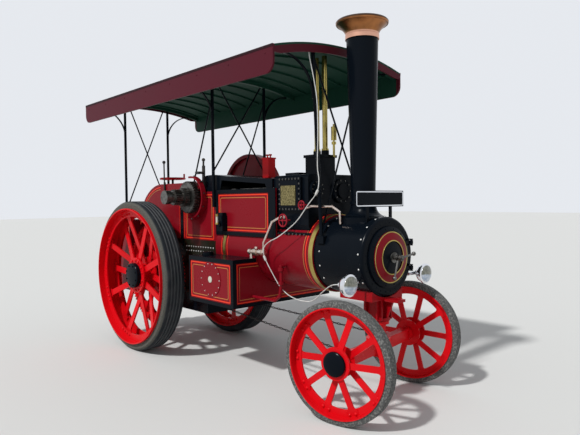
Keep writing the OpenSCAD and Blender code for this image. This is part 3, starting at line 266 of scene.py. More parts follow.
# Colours, each clean and then dull
MAROON = ((0.200, 0.0038, 0.0100), (0.165, 0.008, 0.015))
BOARD_MAROON = ((0.075, 0.0075, 0.0155), (0.060, 0.011, 0.017))
OLIVE = ((0.010, 0.011, 0.006), (0.018, 0.018, 0.010))
CANOPY_GREEN = ((0.009, 0.046, 0.029), (0.013, 0.050, 0.033))
BRASS = ((0.50, 0.40, 0.12), (0.24, 0.18, 0.05))
COPPER = ((0.72, 0.36, 0.20), (0.30, 0.13, 0.05))
TREAD = ((0.011, 0.014, 0.018), (0.026, 0.029, 0.032))
GROOVE_DUST = (0.10, 0.105, 0.11)
TYRE_WALL = ((0.060, 0.060, 0.052), (0.105, 0.102, 0.088))
CABLE_WHITE = ((0.62, 0.62, 0.60), (0.48, 0.47, 0.44))

# Heights at which a finish changes
CAP_BAND_TOP = 2.995
CAP_LIP_FOOT = 3.081
CAST_PLATES_TOP = 1.95
HORN_OLIVE_TOP = 1.236


def grooved_rubber():
    """The rear tyres: a blue-black tread, dust in its grooves, and a grey-brown wall."""
    made = tyre_rubber("rear rubber", *TREAD, 9.0, 0.25)
    across = made.axis("Y")
    across = across.maths("ABSOLUTE", across)
    clouds = made.noise(9.0, 6.0)
    fine = made.noise(110.0, 3.0)
    tread = made.mix(clouds.ramp(0.42, 0.7), *TREAD)
    inner_groove = REAR_TRACK_HALF - GROOVE_HALF_PITCH
    from_groove = across.maths("PINGPONG", across - inner_groove, GROOVE_HALF_PITCH)
    dusty = from_groove.ramp(0.0090, 0.0045) * 0.9
    from_inside = across.ramp(REAR_TRACK_HALF - 0.065, REAR_TRACK_HALF - 0.061)
    from_outside = across.ramp(REAR_TRACK_HALF + 0.067, REAR_TRACK_HALF + 0.063)
    lined = made.mix(dusty * (from_inside * from_outside), tread, GROOVE_DUST)
    wall = made.mix(fine.ramp(0.3, 0.7), *TYRE_WALL)
    on_wall = across.ramp(REAR_TRACK_HALF + 0.091, REAR_TRACK_HALF + 0.105)
    return made.paint(Base_Color=made.mix(on_wall, lined, wall))


def capped_copper():
    """The chimney cap: a pinkish band at its foot, a brown bell above and a dark rolled lip."""
    made = bare_metal("cap copper", *COPPER, 0.2)
    height = made.axis("Z")
    clouds = made.noise(9.0)
    bell = made.mix(clouds.ramp(0.35, 0.7), (0.42, 0.17, 0.060), (0.20, 0.085, 0.035))
    above_band = height.ramp(CAP_BAND_TOP - 0.005, CAP_BAND_TOP + 0.005)
    on_lip = height.ramp(CAP_LIP_FOOT - 0.005, CAP_LIP_FOOT + 0.005)
    below_lip = made.mix(above_band, (0.74, 0.40, 0.28), bell)
    return made.paint(Base_Color=made.mix(on_lip, below_lip, (0.075, 0.040, 0.024)))


def lamp_lens():
    """A ribbed lens with a painted reflection: dark in its upper half and pale blue in its lower half."""
    made = Finish("lamp lens", 0.07, coat=1.0)
    ribs = made.axis("Y")
    ribs = ribs.maths("SINE", ribs * 420.0)
    edge = made.axis("Z") + made.noise(16.0) * 0.03
    reflection_streaks = made.noise(40.0).ramp(0.35, 0.65)
    # Painted reflection: dark above the lamp's centre, pale blue below it, streaked
    upper = made.mix(reflection_streaks, (0.10, 0.105, 0.075), (0.20, 0.20, 0.15))
    lower = made.mix(reflection_streaks, (0.36, 0.46, 0.60), (0.62, 0.68, 0.76))
    made.paint(Base_Color=made.mix(edge.ramp(LAMP_Z - 0.001, LAMP_Z + 0.019), lower, upper))
    return made.bump(ribs, 0.2, 0.001)


def fitting_brass():
    """Brass pipes and valves, with dull cast plates low on the valve chests."""
    made = bare_metal("fitting brass", *BRASS, 0.2)
    relief = made.noise(90.0, 3.0)
    high = made.axis("Z").ramp(CAST_PLATES_TOP, CAST_PLATES_TOP + 0.01)
    cast = made.mix(relief.ramp(0.38, 0.62), (0.10, 0.085, 0.035), (0.34, 0.29, 0.14))
    bright = made.mix(made.noise(8.0).ramp(0.4, 0.72), BRASS[0], (0.26, 0.20, 0.06))
    made.paint(Base_Color=made.mix(high, cast, bright), Roughness=0.62 - high * 0.36)
    return made.bump(relief * (1 - high), 0.5, 0.003)


def canopy_paint():
    """Maroon on the canopy's outer faces and end arches, green on what faces inward."""
    made = Finish("canopy boards", 0.42, shine=0.09)
    across = made.axis("Y")
    along = made.axis("X")
    outside = across.maths("ABSOLUTE", across).ramp(ROOF_HALF + 0.0005, ROOF_HALF + 0.0025)
    back_arch, front_arch = (REAR_X + ahead for ahead in CANOPY_ARCHES_AHEAD)
    front = along.ramp(front_arch - 0.001, front_arch + 0.001)
    back = along.ramp(back_arch + 0.001, back_arch - 0.001)
    clouds = made.noise(3.0).ramp(0.5, 0.75) * 0.35
    maroon = made.mix(clouds, *BOARD_MAROON)
    green = made.mix(clouds, *CANOPY_GREEN)
    fine = made.noise(60.0, 2.0)
    beyond = (outside + front + back).clamped()
    made.paint(Base_Color=made.mix(beyond, green, maroon), Roughness=0.4 + fine * 0.1)
    return made.bump(fine, 0.04, 0.001)


def cable_sheath():
    """A dull white sheath, greyer in places."""
    made = Finish("cable sheath", 0.55)
    return made.paint(Base_Color=made.mix(made.noise(14.0).ramp(0.4, 0.7), *CABLE_WHITE))


FINISH = {
    "maroon_paint": gloss_paint("maroon paint", *MAROON),
    "red_paint": gloss_paint("bright red paint", (0.62, 0.0035, 0.0080), (0.46, 0.010, 0.013)),
    # The black's blue tint is a painted reflection of the sky
    "black_paint": gloss_paint(
        "black paint", (0.0026, 0.0044, 0.0074), (0.005, 0.007, 0.010), 0.16, 0.0, shine=0.06,
    ),
    "olive_paint": gloss_paint("olive paint", *OLIVE, 0.4, 0.0, shine=0.1),
    "green_paint": gloss_paint("canopy green", *CANOPY_GREEN, 0.5, 0.0, shine=0.08),
    "brass": bare_metal("brass", *BRASS, 0.22),
    "copper": bare_metal("copper", *COPPER, 0.22),
    "steel": bare_metal("oiled steel", (0.17, 0.165, 0.155), (0.030, 0.028, 0.024), 0.28, 26.0),
    "iron": bare_metal("cast iron", (0.05, 0.05, 0.052), (0.09, 0.075, 0.06), 0.50, 12.0),
    "chrome": bare_metal("chrome", (0.86, 0.87, 0.90), (0.62, 0.63, 0.66), 0.07, 4.0),
    "rear_rubber": grooved_rubber(),
    "front_rubber": tyre_rubber("front rubber", (0.050, 0.052, 0.052), (0.23, 0.228, 0.215), 75.0, 1.0),
}
ORANGE_LINE = gloss_paint("orange lining", (0.78, 0.045, 0.016), (0.60, 0.045, 0.020), 0.3, 0.1)
GOLD_LINE = gloss_paint("gold lining", (0.52, 0.23, 0.060), (0.38, 0.17, 0.05), 0.3, 0.1)
BOARD_PAINT = gloss_paint("board paint", *BOARD_MAROON, 0.38, 0.0)
ROOF_EDGE = gloss_paint("roof edge", (0.022, 0.0050, 0.0080), (0.030, 0.009, 0.011), 0.4, 0.0)
BADGE_ENAMEL = gloss_paint("badge enamel", (0.52, 0.52, 0.44), (0.40, 0.40, 0.34), 0.35)
# Pale steel for rivet and bolt heads: the paleness is a painted highlight for sun glints on dark heads
PALE_GLINT_STEEL = bare_metal("steel painted with glints", (0.62, 0.62, 0.60), (0.36, 0.35, 0.33), 0.36, 12.0)
CABLE_SHEATH = cable_sheath()
LAMP_GLASS = lamp_lens()

# Nodes with a finish of their own; the rest take the one of their slot
NODE_FINISH = {
    "horn_plates": gloss_paint("horn plate paint", *MAROON, second=OLIVE[0], split=HORN_OLIVE_TOP),
    "canopy_fascias": canopy_paint(),
    # Perch bracket: the bright red darkened as painted shade, for the shadow under the smokebox
    "perch_bracket": gloss_paint("perch red with painted shade", (0.30, 0.0030, 0.0070), (0.20, 0.006, 0.010)),
    "chimney_cap": capped_copper(),
    "feed_pipes": bare_metal("polished pipe", (0.72, 0.62, 0.56), (0.46, 0.30, 0.22), 0.16, 16.0),
    "brass_fittings": fitting_brass(),
    "hand_wheels": gloss_paint("valve wheel red", (0.26, 0.012, 0.022), (0.14, 0.012, 0.016), 0.3),
    "gear_levers": FINISH["iron"],
}
NODE_FINISH["canopy_ribs"] = NODE_FINISH["canopy_fascias"]

for row in frame["record"]["subparts"]:
    solid = frame["nodes"][row["node"]]
    finish = NODE_FINISH.get(row["node"], FINISH[row["material_slot"]])
    solid.data.materials.clear()
    solid.data.materials.append(finish.material)


# Places
def around(count, first=0.0):
    """Angles spaced evenly round a circle; first is the first one's share of a step."""
    return [math.tau * (i + first) / count for i in range(count)]


def on_side(x, y, z, r, a):
    """A point at an angle on a circle square to Y, counted from ahead."""
    return x + r * math.cos(a), y, z + r * math.sin(a)


def on_end(x, z, r, a):
    """A point at an angle on a circle square to X, counted from the top."""
    return x, r * math.sin(a), z + r * math.cos(a)


def on_front(along, y, up=0.0):
    """A point counted from the middle of the front axle and turned with it to the parked angle."""
    return Vector((
        FRONT_X + along * math.cos(STEER_REST) - y * math.sin(STEER_REST),
        along * math.sin(STEER_REST) + y * math.cos(STEER_REST),
        FRONT_TYRE_R + up,
    ))


def side_plane(y, side):
    """Points on a face square to Y, on the right (-1) or the left (1)."""
    return lambda u, v, h: Vector((REAR_X + u, side * (y + h), v))


def end_plane(x, way=1):
    """Points on a face square to X."""
    return lambda u, v, h: Vector((x + way * h, u, v))


def axes_for(normal):
    """A direction and two unit vectors square to it."""
    normal = Vector(normal).normalized()
    spare = Vector((0, 0, 1)) if abs(normal.z) < 0.9 else Vector((1, 0, 0))
    across = normal.cross(spare).normalized()
    return normal, across, across.cross(normal)


# Making pieces
def piece(name, points, faces, finish, body, smooth=False, replaces=None):
    mesh = bpy.data.meshes.new(name)
    mesh.from_pydata([tuple(p) for p in points], [], faces)
    mesh.validate()
    mesh.update()
    mesh.materials.append(finish.material)
    for face in mesh.polygons:
        face.use_smooth = smooth
    made = bpy.data.objects.new(name, mesh)
    bpy.context.scene.collection.objects.link(made)
    if replaces:
        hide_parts(*replaces)
    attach(made, body)
    return made


def studs(name, places, radius, finish, body, sides=10, rise=0.6):
    """Domed rivet heads: places is a list of (point, outward direction)."""
    points, faces = [], []
    rings = ((1.0, 0.0), (0.92, 0.45), (0.62, 0.85))
    for at, outward in places:
        normal, across, up = axes_for(outward)
        first = len(points)
        for scale, height in rings:
            lift = normal * (radius * rise * height)
            for a in around(sides):
                out = math.cos(a) * across + math.sin(a) * up
                points.append(Vector(at) + radius * scale * out + lift)
        points.append(Vector(at) + normal * radius * rise)
        for ring in range(len(rings) - 1):
            for i in range(sides):
                j = (i + 1) % sides
                low = first + ring * sides
                faces.append((low + i, low + j, low + sides + j, low + sides + i))
        top = first + (len(rings) - 1) * sides
        for i in range(sides):
            faces.append((top + i, top + (i + 1) % sides, len(points) - 1))
        faces.append(tuple(first + i for i in reversed(range(sides))))
    return piece(name, points, faces, finish, body, smooth=True)


def nuts(name, places, radius, finish, body):
    """Hexagonal nuts with a stud end."""
    points, faces = [], []
    prisms = (
        (radius, 0, radius * 0.8, 6),
        (radius * 0.5, radius * 0.8, radius * 1.25, 8),
    )
    for at, outward in places:
        normal, across, up = axes_for(outward)
        for r, low, high, sides in prisms:
            first = len(points)
            for height in (low, high):
                for a in around(sides):
                    out = math.cos(a) * across + math.sin(a) * up
                    points.append(Vector(at) + normal * height + r * out)
            for i in range(sides):
                j = (i + 1) % sides
                faces.append((first + i, first + j, first + sides + j, first + sides + i))
            faces.append(tuple(first + sides + i for i in range(sides)))
            faces.append(tuple(first + i for i in reversed(range(sides))))
    return piece(name, points, faces, finish, body)


def rounded_box(u0, v0, u1, v1, r, steps=5):
    """A closed rounded rectangle as points in two numbers."""
    corners = (
        (u1 - r, v1 - r, 0),
        (u0 + r, v1 - r, 90),
        (u0 + r, v0 + r, 180),
        (u1 - r, v0 + r, 270),
    )
    out = []
    for cu, cv, turn in corners:
        for i in range(steps + 1):
            a = math.radians(turn + 90 * i / steps)
            out.append((cu + r * math.cos(a), cv + r * math.sin(a)))
    return out


def stripe(name, path, place, width, finish, body, closed=True, rise=0.0007):
    """A thin raised line along a path of number pairs; place turns (u, v, height) into a point."""
    count = len(path)
    points, faces = [], []
    for i, here in enumerate(path):
        before = path[(i - 1) % count] if closed or i else here
        after = path[(i + 1) % count] if closed or i < count - 1 else here
        run = Vector((after[0] - before[0], after[1] - before[1])).normalized()
        side = Vector((-run.y, run.x)) * (width / 2)
        for sign, height in ((-1, -STRIPE_SUNK), (-1, rise), (1, rise), (1, -STRIPE_SUNK)):
            points.append(place(here[0] + sign * side.x, here[1] + sign * side.y, height))
    last = count if closed else count - 1
    for i in range(last):
        a = 4 * i
        b = 4 * ((i + 1) % count)
        for k in range(4):
            m = (k + 1) % 4
            faces.append((a + k, a + m, b + m, b + k))
    if not closed:
        faces.append((0, 1, 2, 3))
        faces.append(tuple(4 * (count - 1) + k for k in (3, 2, 1, 0)))
    return piece(name, points, faces, finish, body)


# The two lines round a panel: name, distance inside the first, width, finish
LINES = (("outer", 0.0, 0.011, ORANGE_LINE), ("inner", 0.026, 0.005, GOLD_LINE))
LINE_CORNER = {"outer": 0.004, "inner": 0.02}


def lined_panel(name, place, box, inset):
    """The orange outer and gold inner line of a panel."""
    u0, v0, u1, v1 = box
    for tag, inside, width, finish in LINES:
        step = inset + inside
        path = rounded_box(u0 + step, v0 + step, u1 - step, v1 - step, LINE_CORNER[tag])
        stripe(f"{name}_{tag}", path, place, width, finish, "engine")


def lathe(name, outline, centre, axis, finish, body, steps=96, replaces=None):
    """A closed outline of (radius, offset) turned about an axis through centre."""
    normal, across, up = axes_for(axis)
    count = len(outline)
    points = []
    for a in around(steps):
        out = math.cos(a) * across + math.sin(a) * up
        points += [Vector(centre) + out * r + normal * o for r, o in outline]
    faces = []
    for i in range(steps):
        a = i * count
        b = ((i + 1) % steps) * count
        for k in range(count):
            m = (k + 1) % count
            faces.append((a + k, a + m, b + m, b + k))
    made = piece(name, points, faces, finish, body, smooth=True, replaces=replaces)
    made.data.set_sharp_from_angle(angle=SHARP_TURN)
    return made


def ring_line(name, radius, centre, axis, width, finish, body, rise=RING_RISE):
    """A thin painted or brass ring lying on a flat face square to the axis."""
    outline = [
        (radius - width / 2, -RING_SUNK), (radius + width / 2, -RING_SUNK),
        (radius + width / 2, rise), (radius - width / 2, rise),
    ]
    return lathe(name, outline, centre, axis, finish, body, steps=72)


def hoop(name, x, width, finish):
    """A painted band round the boiler."""
    low = BOILER_R - RING_SUNK
    high = BOILER_R + RING_RISE
    outline = [(low, 0), (high, 0), (high, width), (low, width)]
    return lathe(name, outline, (x, 0, BOILER_Z), (1, 0, 0), finish, "engine")


# The lamp cable: from under the roof's front edge, past the valve chest and the injector, and in a
# loop to the right lamp. Its knots are (ahead of the rear axle, left, up)
CABLE_THICK = 0.008
CABLE_KNOTS = [
    (2.538, -0.397, 2.888), (2.541, -0.394, 2.800), (2.556, -0.366, 2.640), (2.566, -0.338, 2.457),
    (2.568, -0.331, 2.207), (2.560, -0.333, 1.925), (2.576, -0.333, 1.800), (2.555, -0.338, 1.702),
    (2.463, -0.352, 1.600), (2.352, -0.385, 1.459), (2.186, -0.425, 1.337), (2.070, -0.440, 1.285),
    (1.995, -0.441, 1.232), (1.976, -0.430, 1.165), (1.992, -0.412, 1.100), (2.033, -0.395, 1.022),
    (2.108, -0.365, 0.895), (2.185, -0.347, 0.831), (2.278, -0.340, 0.800), (2.385, -0.340, 0.792),
    (2.488, -0.348, 0.806), (2.600, -0.384, 0.858), (2.689, -0.420, 0.911), (2.830, -0.465, 0.984),
    (2.938, -0.480, 1.003),
]
CABLE_STEPS = 4
CABLE_JOINTS = (("upper", 28), ("lower", 54))
JOINT_OUTLINE = [
    (CORE, -0.024), (0.008, -0.024), (0.011, -0.014),
    (0.011, 0.014), (0.008, 0.024), (CORE, 0.024),
]


def through(knots, steps):
    """Points on a smooth line through the knots."""
    out = []
    count = len(knots)
    for i in range(count - 1):
        a, b, c, d = (Vector(knots[min(max(i + k, 0), count - 1)]) for k in (-1, 0, 1, 2))
        slope = c - a
        bend = 2 * a - 5 * b + 4 * c - d
        twist = 3 * b - a - 3 * c + d
        for j in range(steps):
            t = j / steps
            out.append(0.5 * (2 * b + slope * t + bend * t ** 2 + twist * t ** 3))
    return out + [Vector(knots[-1])]


CABLE_ROUTE = [p + Vector((REAR_X, 0, 0)) for p in through(CABLE_KNOTS, CABLE_STEPS)]
cable_curve = bpy.data.curves.new("lamp_cable", "CURVE")
cable_curve.dimensions = "3D"
cable_curve.bevel_depth = CABLE_THICK / 2
cable_curve.bevel_resolution = 3
cable_curve.use_fill_caps = True
cable_line = cable_curve.splines.new("POLY")
cable_line.points.add(len(CABLE_ROUTE) - 1)
for point, place in zip(cable_line.points, CABLE_ROUTE):
    point.co = (*place, 1)
cable_line.use_smooth = True
cable_curve.materials.append(CABLE_SHEATH.material)
cable = bpy.data.objects.new("lamp_cable", cable_curve)
bpy.context.scene.collection.objects.link(cable)
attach(cable, "engine")
cable_joints = [
    lathe(
        f"cable_joint_{tag}", JOINT_OUTLINE, CABLE_ROUTE[i], CABLE_ROUTE[i + 1] - CABLE_ROUTE[i - 1],
        CABLE_SHEATH, "engine", steps=20,
    )
    for tag, i in CABLE_JOINTS
]


# Rear tyres with four grooves and bevelled shoulders
def rear_tyre_outline():
    half = REAR_TYRE_HALF
    shoulder = 0.026
    bevel_run = 0.006
    bevel_drop = 0.004
    groove_depth = 0.009
    top = REAR_TYRE_R
    out = [
        (REAR_RIM_R, -half), (top - shoulder, -half),
        (top - bevel_drop, -half + shoulder - bevel_run), (top, -half + shoulder),
    ]
    for y in GROOVES:
        out += [(top, y - 0.005), (top - groove_depth, y - 0.003)]
        out += [(top - groove_depth, y + 0.003), (top, y + 0.005)]
    out += [(top, half - shoulder), (top - bevel_drop, half - shoulder + bevel_run)]
    out += [(top - shoulder, half), (REAR_RIM_R, half)]
    return out


for side, word in SIDES:
    lathe(
        f"rear_tyre_tread_{word}", rear_tyre_outline(), (REAR_X, side * REAR_TRACK_HALF, REAR_TYRE_R),
        (0, 1, 0), FINISH["rear_rubber"], f"rear_wheel_{word}", steps=128,
        replaces=[f"rear_tyre_{word}"],
    )

# Front tyres
AXLE_WAY = Vector((-math.sin(STEER_REST), math.cos(STEER_REST), 0))
FRONT_OUTLINE = [
    (FRONT_RIM_R, -0.044), (0.440, -0.044), (0.449, -0.040), (FRONT_TYRE_R, -0.034),
    (FRONT_TYRE_R, 0.034), (0.449, 0.040), (0.440, 0.044), (FRONT_RIM_R, 0.044),
]
for side, word in SIDES:
    lathe(
        f"front_tyre_tread_{word}", FRONT_OUTLINE, on_front(0, side * FRONT_TRACK_HALF), AXLE_WAY,
        FINISH["front_rubber"], f"front_wheel_{word}", steps=120,
        replaces=[f"front_tyre_{word}"],
    )

# Rivets of the wheels: four for each rear spoke's pad, and two at each foot on the outer flange
REAR_RIVETS_R = 0.682
REAR_RIVET_STEPS = (-0.081, -0.027, 0.027, 0.081)
REAR_FOOT_R = 0.165
REAR_FOOT_Y = 0.670
HUB_NUTS_R = 0.112
HUB_NUTS_Y = 0.7215
FRONT_RIVETS_R = 0.376
FRONT_RIVETS_Y = FRONT_TRACK_HALF - 0.0078
for side, word in SIDES:
    places = []
    for ring, first in ((-1, 0.0), (1, 0.5)):
        face = side * (REAR_TRACK_HALF - ring * REAR_RING_FACE)
        for a in around(REAR_SPOKES, first):
            a += math.radians(REAR_TURN)
            for step in REAR_RIVET_STEPS:
                at = on_side(REAR_X, face, REAR_TYRE_R, REAR_RIVETS_R, a + step / REAR_RIVETS_R)
                places.append((at, (0, -side * ring, 0)))
            if ring > 0:
                for step in (-0.03, 0.03):
                    foot = side * REAR_FOOT_Y
                    at = on_side(REAR_X, foot, REAR_TYRE_R, REAR_FOOT_R, a + step / REAR_FOOT_R)
                    places.append((at, (0, side, 0)))
    studs(
        f"rear_wheel_rivets_{word}", places, 0.015, FINISH["red_paint"], f"rear_wheel_{word}",
        rise=0.8,
    )
    places = [
        (on_side(REAR_X, side * HUB_NUTS_Y, REAR_TYRE_R, HUB_NUTS_R, a), (0, side, 0))
        for a in around(8, 0.5)
    ]
    nuts(f"rear_hub_nuts_{word}", places, 0.010, FINISH["black_paint"], "engine")
    places = []
    for a in around(FRONT_SPOKES):
        for step in (-0.027, 0.027):
            b = a + step / FRONT_RIVETS_R
            along = FRONT_RIVETS_R * math.cos(b)
            up = FRONT_RIVETS_R * math.sin(b)
            places.append((on_front(along, side * FRONT_RIVETS_Y, up), AXLE_WAY * side))
    studs(
        f"front_wheel_rivets_{word}", places, 0.014, FINISH["red_paint"], f"front_wheel_{word}",
        rise=0.85,
    )

# Lining and bolts of the side panels and horn plates; boxes are (ahead, up, ahead, up)
MOTION_PANEL = (1.128, 1.343, 1.918, 1.714)
GEAR_PANEL = (0.500, 1.240, 1.052, 1.722)
HUMP_CENTRE = (-0.014, 1.278)
HUMP_LINES = (("line", 0.530, 171, 0.010, ORANGE_LINE), ("fine_line", 0.505, 170, 0.005, GOLD_LINE))
JOINT_AHEAD = 0.430
JOINT_TOP = 1.60
for side, word in SIDES:
    plane = side_plane(SIDE_Y, side)
    lined_panel(f"motion_panel_lining_{word}", plane, MOTION_PANEL, 0.016)
    lined_panel(f"gear_panel_lining_{word}", plane, GEAR_PANEL, 0.014)
    for tag, radius, last, width, finish in HUMP_LINES:
        arc = [
            (HUMP_CENTRE[0] + radius * math.cos(a), HUMP_CENTRE[1] + radius * math.sin(a))
            for a in (math.radians(d) for d in range(92, last, 3))
        ]
        stripe(f"hump_{tag}_{word}", arc, plane, width, finish, "engine", closed=False)
    stripe(
        f"joint_strip_{word}", [(JOINT_AHEAD, 1.08), (JOINT_AHEAD, JOINT_TOP)], plane, 0.060,
        FINISH["black_paint"], "engine", closed=False, rise=0.005,
    )
    for u in (0.385, 0.475):
        stripe(
            f"joint_line_{word}_{int(u * 1000)}", [(u, 1.25), (u, JOINT_TOP)], plane, 0.007,
            ORANGE_LINE, "engine", closed=False,
        )
    column = [(plane(JOINT_AHEAD, 1.10 + 0.04 * i, 0.005), (0, side, 0)) for i in range(13)]
    studs(f"joint_strip_bolts_{word}", column, 0.008, FINISH["black_paint"], "engine")
    rows = [(plane(0.520 + 0.046 * i, z, 0), (0, side, 0)) for i in range(12) for z in (1.114, 1.160)]
    # Pale heads: painted highlight
    studs(f"firebox_rivets_{word}", rows, 0.0085, PALE_GLINT_STEEL, "engine")

# Lining, bolts and badge of the tank
TANK_PANEL = (1.053, 0.706, 1.723, 1.072)
TANK_FRONT_TOP = 1.074
TANK_EDGE = 0.036
MANHOLE_BOLTS_R = 0.148
BADGE_OUTLINE = [(CORE, 0), (0.030, 0), (0.030, -0.003), (0.024, -0.005), (CORE, -0.005)]
for side, word in SIDES:
    lined_panel(f"tank_side_lining_{word}", side_plane(TANK_Y, side), TANK_PANEL, 0.016)
    cover = TANK_Y + 0.005
    ring = [
        (on_side(REAR_X + MANHOLE_AHEAD, side * cover, MANHOLE_Z, MANHOLE_BOLTS_R, a), (0, side, 0))
        for a in around(14)
    ]
    # Pale heads: painted highlight
    studs(f"manhole_bolts_{word}", ring, 0.006, PALE_GLINT_STEEL, "engine", sides=8)
    if side < 0:
        lathe(
            "tank_badge", BADGE_OUTLINE, (REAR_X + MANHOLE_AHEAD, -cover, MANHOLE_Z), (0, 1, 0),
            BADGE_ENAMEL, "engine", steps=40,
        )
    angle = side_plane(TANK_Y + 0.0063, side)
    edge = [(angle(1.745, 0.72 + 0.034 * i, 0), (0, side, 0)) for i in range(11)]
    studs(
        f"tank_edge_rivets_{word}", edge, 0.005, FINISH["black_paint"], "engine", sides=8,
    )

for tag, inside, width, finish in LINES:
    step = 0.010 + inside
    reach = TANK_Y - TANK_EDGE - step
    low = TANK_PANEL[1] + step
    high = TANK_FRONT_TOP - step
    turn = math.sqrt((BOILER_R + BAND_T) ** 2 - (BOILER_Z - high) ** 2)
    path = [(-turn, high), (-reach, high), (-reach, low), (reach, low), (reach, high), (turn, high)]
    stripe(
        f"tank_front_lining_{tag}", path, end_plane(TANK_END), width, finish, "engine", closed=False,
    )

# Boiler lining beside its bands: name, place ahead, width, finish
BOILER_LINES = (
    ("back_a", 1.190, 0.010, ORANGE_LINE),
    ("back_b", 1.283, 0.010, ORANGE_LINE),
    ("front_a", 2.402, 0.010, ORANGE_LINE),
    ("front_b", 2.378, 0.005, GOLD_LINE),
)
for tag, ahead, width, finish in BOILER_LINES:
    hoop(f"boiler_line_{tag}", REAR_X + ahead, width, finish)

# Smokebox rivets in two rows round it, and bolts round its front apart from the door's hinge side
SMOKEBOX_ROWS_AHEAD = (2.556, 2.973)
SMOKEBOX_ROWS_TURN = 19.3
FRONT_BOLTS_R = 0.276
places = []
for ahead in SMOKEBOX_ROWS_AHEAD:
    for a in around(17):
        a += math.radians(SMOKEBOX_ROWS_TURN)
        out = Vector((0, -math.sin(a), math.cos(a)))
        places.append((Vector((REAR_X + ahead, 0, BOILER_Z)) + out * (SMOKEBOX_R - 0.0006), out))
# Pale heads: painted highlight
studs("smokebox_rivets", places, 0.0085, PALE_GLINT_STEEL, "engine")
places = [
    (on_end(SMOKEBOX_END - 0.0008, BOILER_Z, FRONT_BOLTS_R, a), (1, 0, 0))
    for a in around(28, 0.5)
    if not 60 < math.degrees(a) < 120
]
studs(
    "smokebox_front_rivets", places, 0.007, FINISH["black_paint"], "engine", sides=8,
)

# Smokebox door
DOOR_R = 0.245
DOOR_SEAT = 0.014
DOOR_DISH = 0.042
DOOR_STUDS_R = 0.226
RING_T = 0.006


def door_height(r):
    """How far the dished door's face stands beyond the smokebox at a radius."""
    return DOOR_SEAT + DOOR_DISH * (1 - (r / DOOR_R) ** 2)


places = [
    (on_end(SMOKEBOX_END + door_height(DOOR_STUDS_R), BOILER_Z, DOOR_STUDS_R, a), (1, 0, 0))
    for a in around(14, 0.5)
]
studs("door_studs", places, 0.0075, FINISH["black_paint"], "smokebox_door", sides=8)
for tag, r in (("inner", 0.134), ("outer", 0.201)):
    x = SMOKEBOX_END + 0.0006 + door_height(r) + RING_T
    ring_line(
        f"door_ring_edge_{tag}", r, (x, 0, BOILER_Z), (1, 0, 0), 0.008, FINISH["brass"],
        "smokebox_door", rise=0.002,
    )

# Chimney base bolts
CHIMNEY_BOLTS_R = 0.114
CHIMNEY_BASE_TOP = 1.599
places = [
    (
        (CHIMNEY_X + CHIMNEY_BOLTS_R * math.cos(a), CHIMNEY_BOLTS_R * math.sin(a), CHIMNEY_BASE_TOP),
        (0, 0, 1),
    )
    for a in around(8, 0.5)
]
studs("chimney_base_bolts", places, 0.007, FINISH["black_paint"], "engine", sides=8)

# Number plate's silver border; the plate stays bare
stripe(
    "number_plate_border", rounded_box(-0.290, 1.590, 0.290, 1.700, 0.012),
    end_plane(NUMBER_PLATE_FACE), 0.008, FINISH["chrome"], "engine", rise=0.002,
)

# Lamp glasses
GLASS_OUTLINE = [
    (CORE, 0), (0.070, -0.006), (0.070, 0.004), (0.050, 0.013), (0.025, 0.018), (CORE, 0.019),
]
GLASS_X = LAMP_X + 0.098
for side, word in SIDES:
    lathe(
        f"lamp_glass_{word}", GLASS_OUTLINE, (GLASS_X, side * LAMP_Y, LAMP_Z), (1, 0, 0),
        LAMP_GLASS, "engine", steps=40,
    )

# Nuts round the valve chests' covers, along the saddle and round the cylinder covers
CHEST_FACE = BLOCK_Y + 0.0243
CHEST_ROWS_Z = (1.565, 1.825)
CHEST_COLUMNS_AHEAD = (2.065, 2.317)
COVER_FACE = REAR_X + 2.426
COVERS = (("high", -0.196, 1.733, 0.062), ("low", 0.112, 1.718, 0.094))
for side, word in SIDES:
    places = []
    for i in range(7):
        x = REAR_X + 2.068 + 0.041 * i
        places += [((x, side * CHEST_FACE, z), (0, side, 0)) for z in CHEST_ROWS_Z]
    for i in range(1, 6):
        z = CHEST_ROWS_Z[0] + 0.0434 * i
        places += [((REAR_X + x, side * CHEST_FACE, z), (0, side, 0)) for x in CHEST_COLUMNS_AHEAD]
    nuts(f"chest_nuts_{word}", places, 0.009, FINISH["steel"], "engine")
    row = [((REAR_X + 1.975 + 0.048 * i, side * 0.2935, 1.347), (0, side, 0)) for i in range(9)]
    nuts(f"saddle_nuts_{word}", row, 0.009, FINISH["steel"], "engine")
for tag, y, z, r in COVERS:
    places = [
        ((COVER_FACE, y + r * math.cos(a), z + r * math.sin(a)), (1, 0, 0)) for a in around(10)
    ]
    nuts(f"cylinder_cover_nuts_{tag}", places, 0.007, FINISH["steel"], "engine")

# The lubricator's sight glass with its caps, and the union of its oil pipe; outlines give heights
SIGHT_AT = (REAR_X + 1.236, -0.412, 0)
SIGHT_PARTS = (
    ("glass", BADGE_ENAMEL, "chrome", [(CORE, 1.430), (0.012, 1.430), (0.012, 1.492), (CORE, 1.492)]),
    ("lower_cap", FINISH["brass"], "brass", [
        (CORE, 1.414), (0.017, 1.414), (0.017, 1.430), (CORE, 1.430),
    ]),
    ("upper_cap", FINISH["brass"], "brass", [
        (CORE, 1.492), (0.017, 1.492), (0.015, 1.514), (0.006, 1.520), (CORE, 1.520),
    ]),
)
for tag, finish, slot, outline in SIGHT_PARTS:
    lathe(f"lubricator_{tag}", outline, SIGHT_AT, (0, 0, 1), finish, "engine", steps=24)
lathe(
    "lubricator_union", [(CORE, 1.398), (0.014, 1.398), (0.014, 1.470), (CORE, 1.470)],
    (REAR_X + 1.180, -0.352, 0), (0, 0, 1), FINISH["brass"], "engine", steps=20,
)

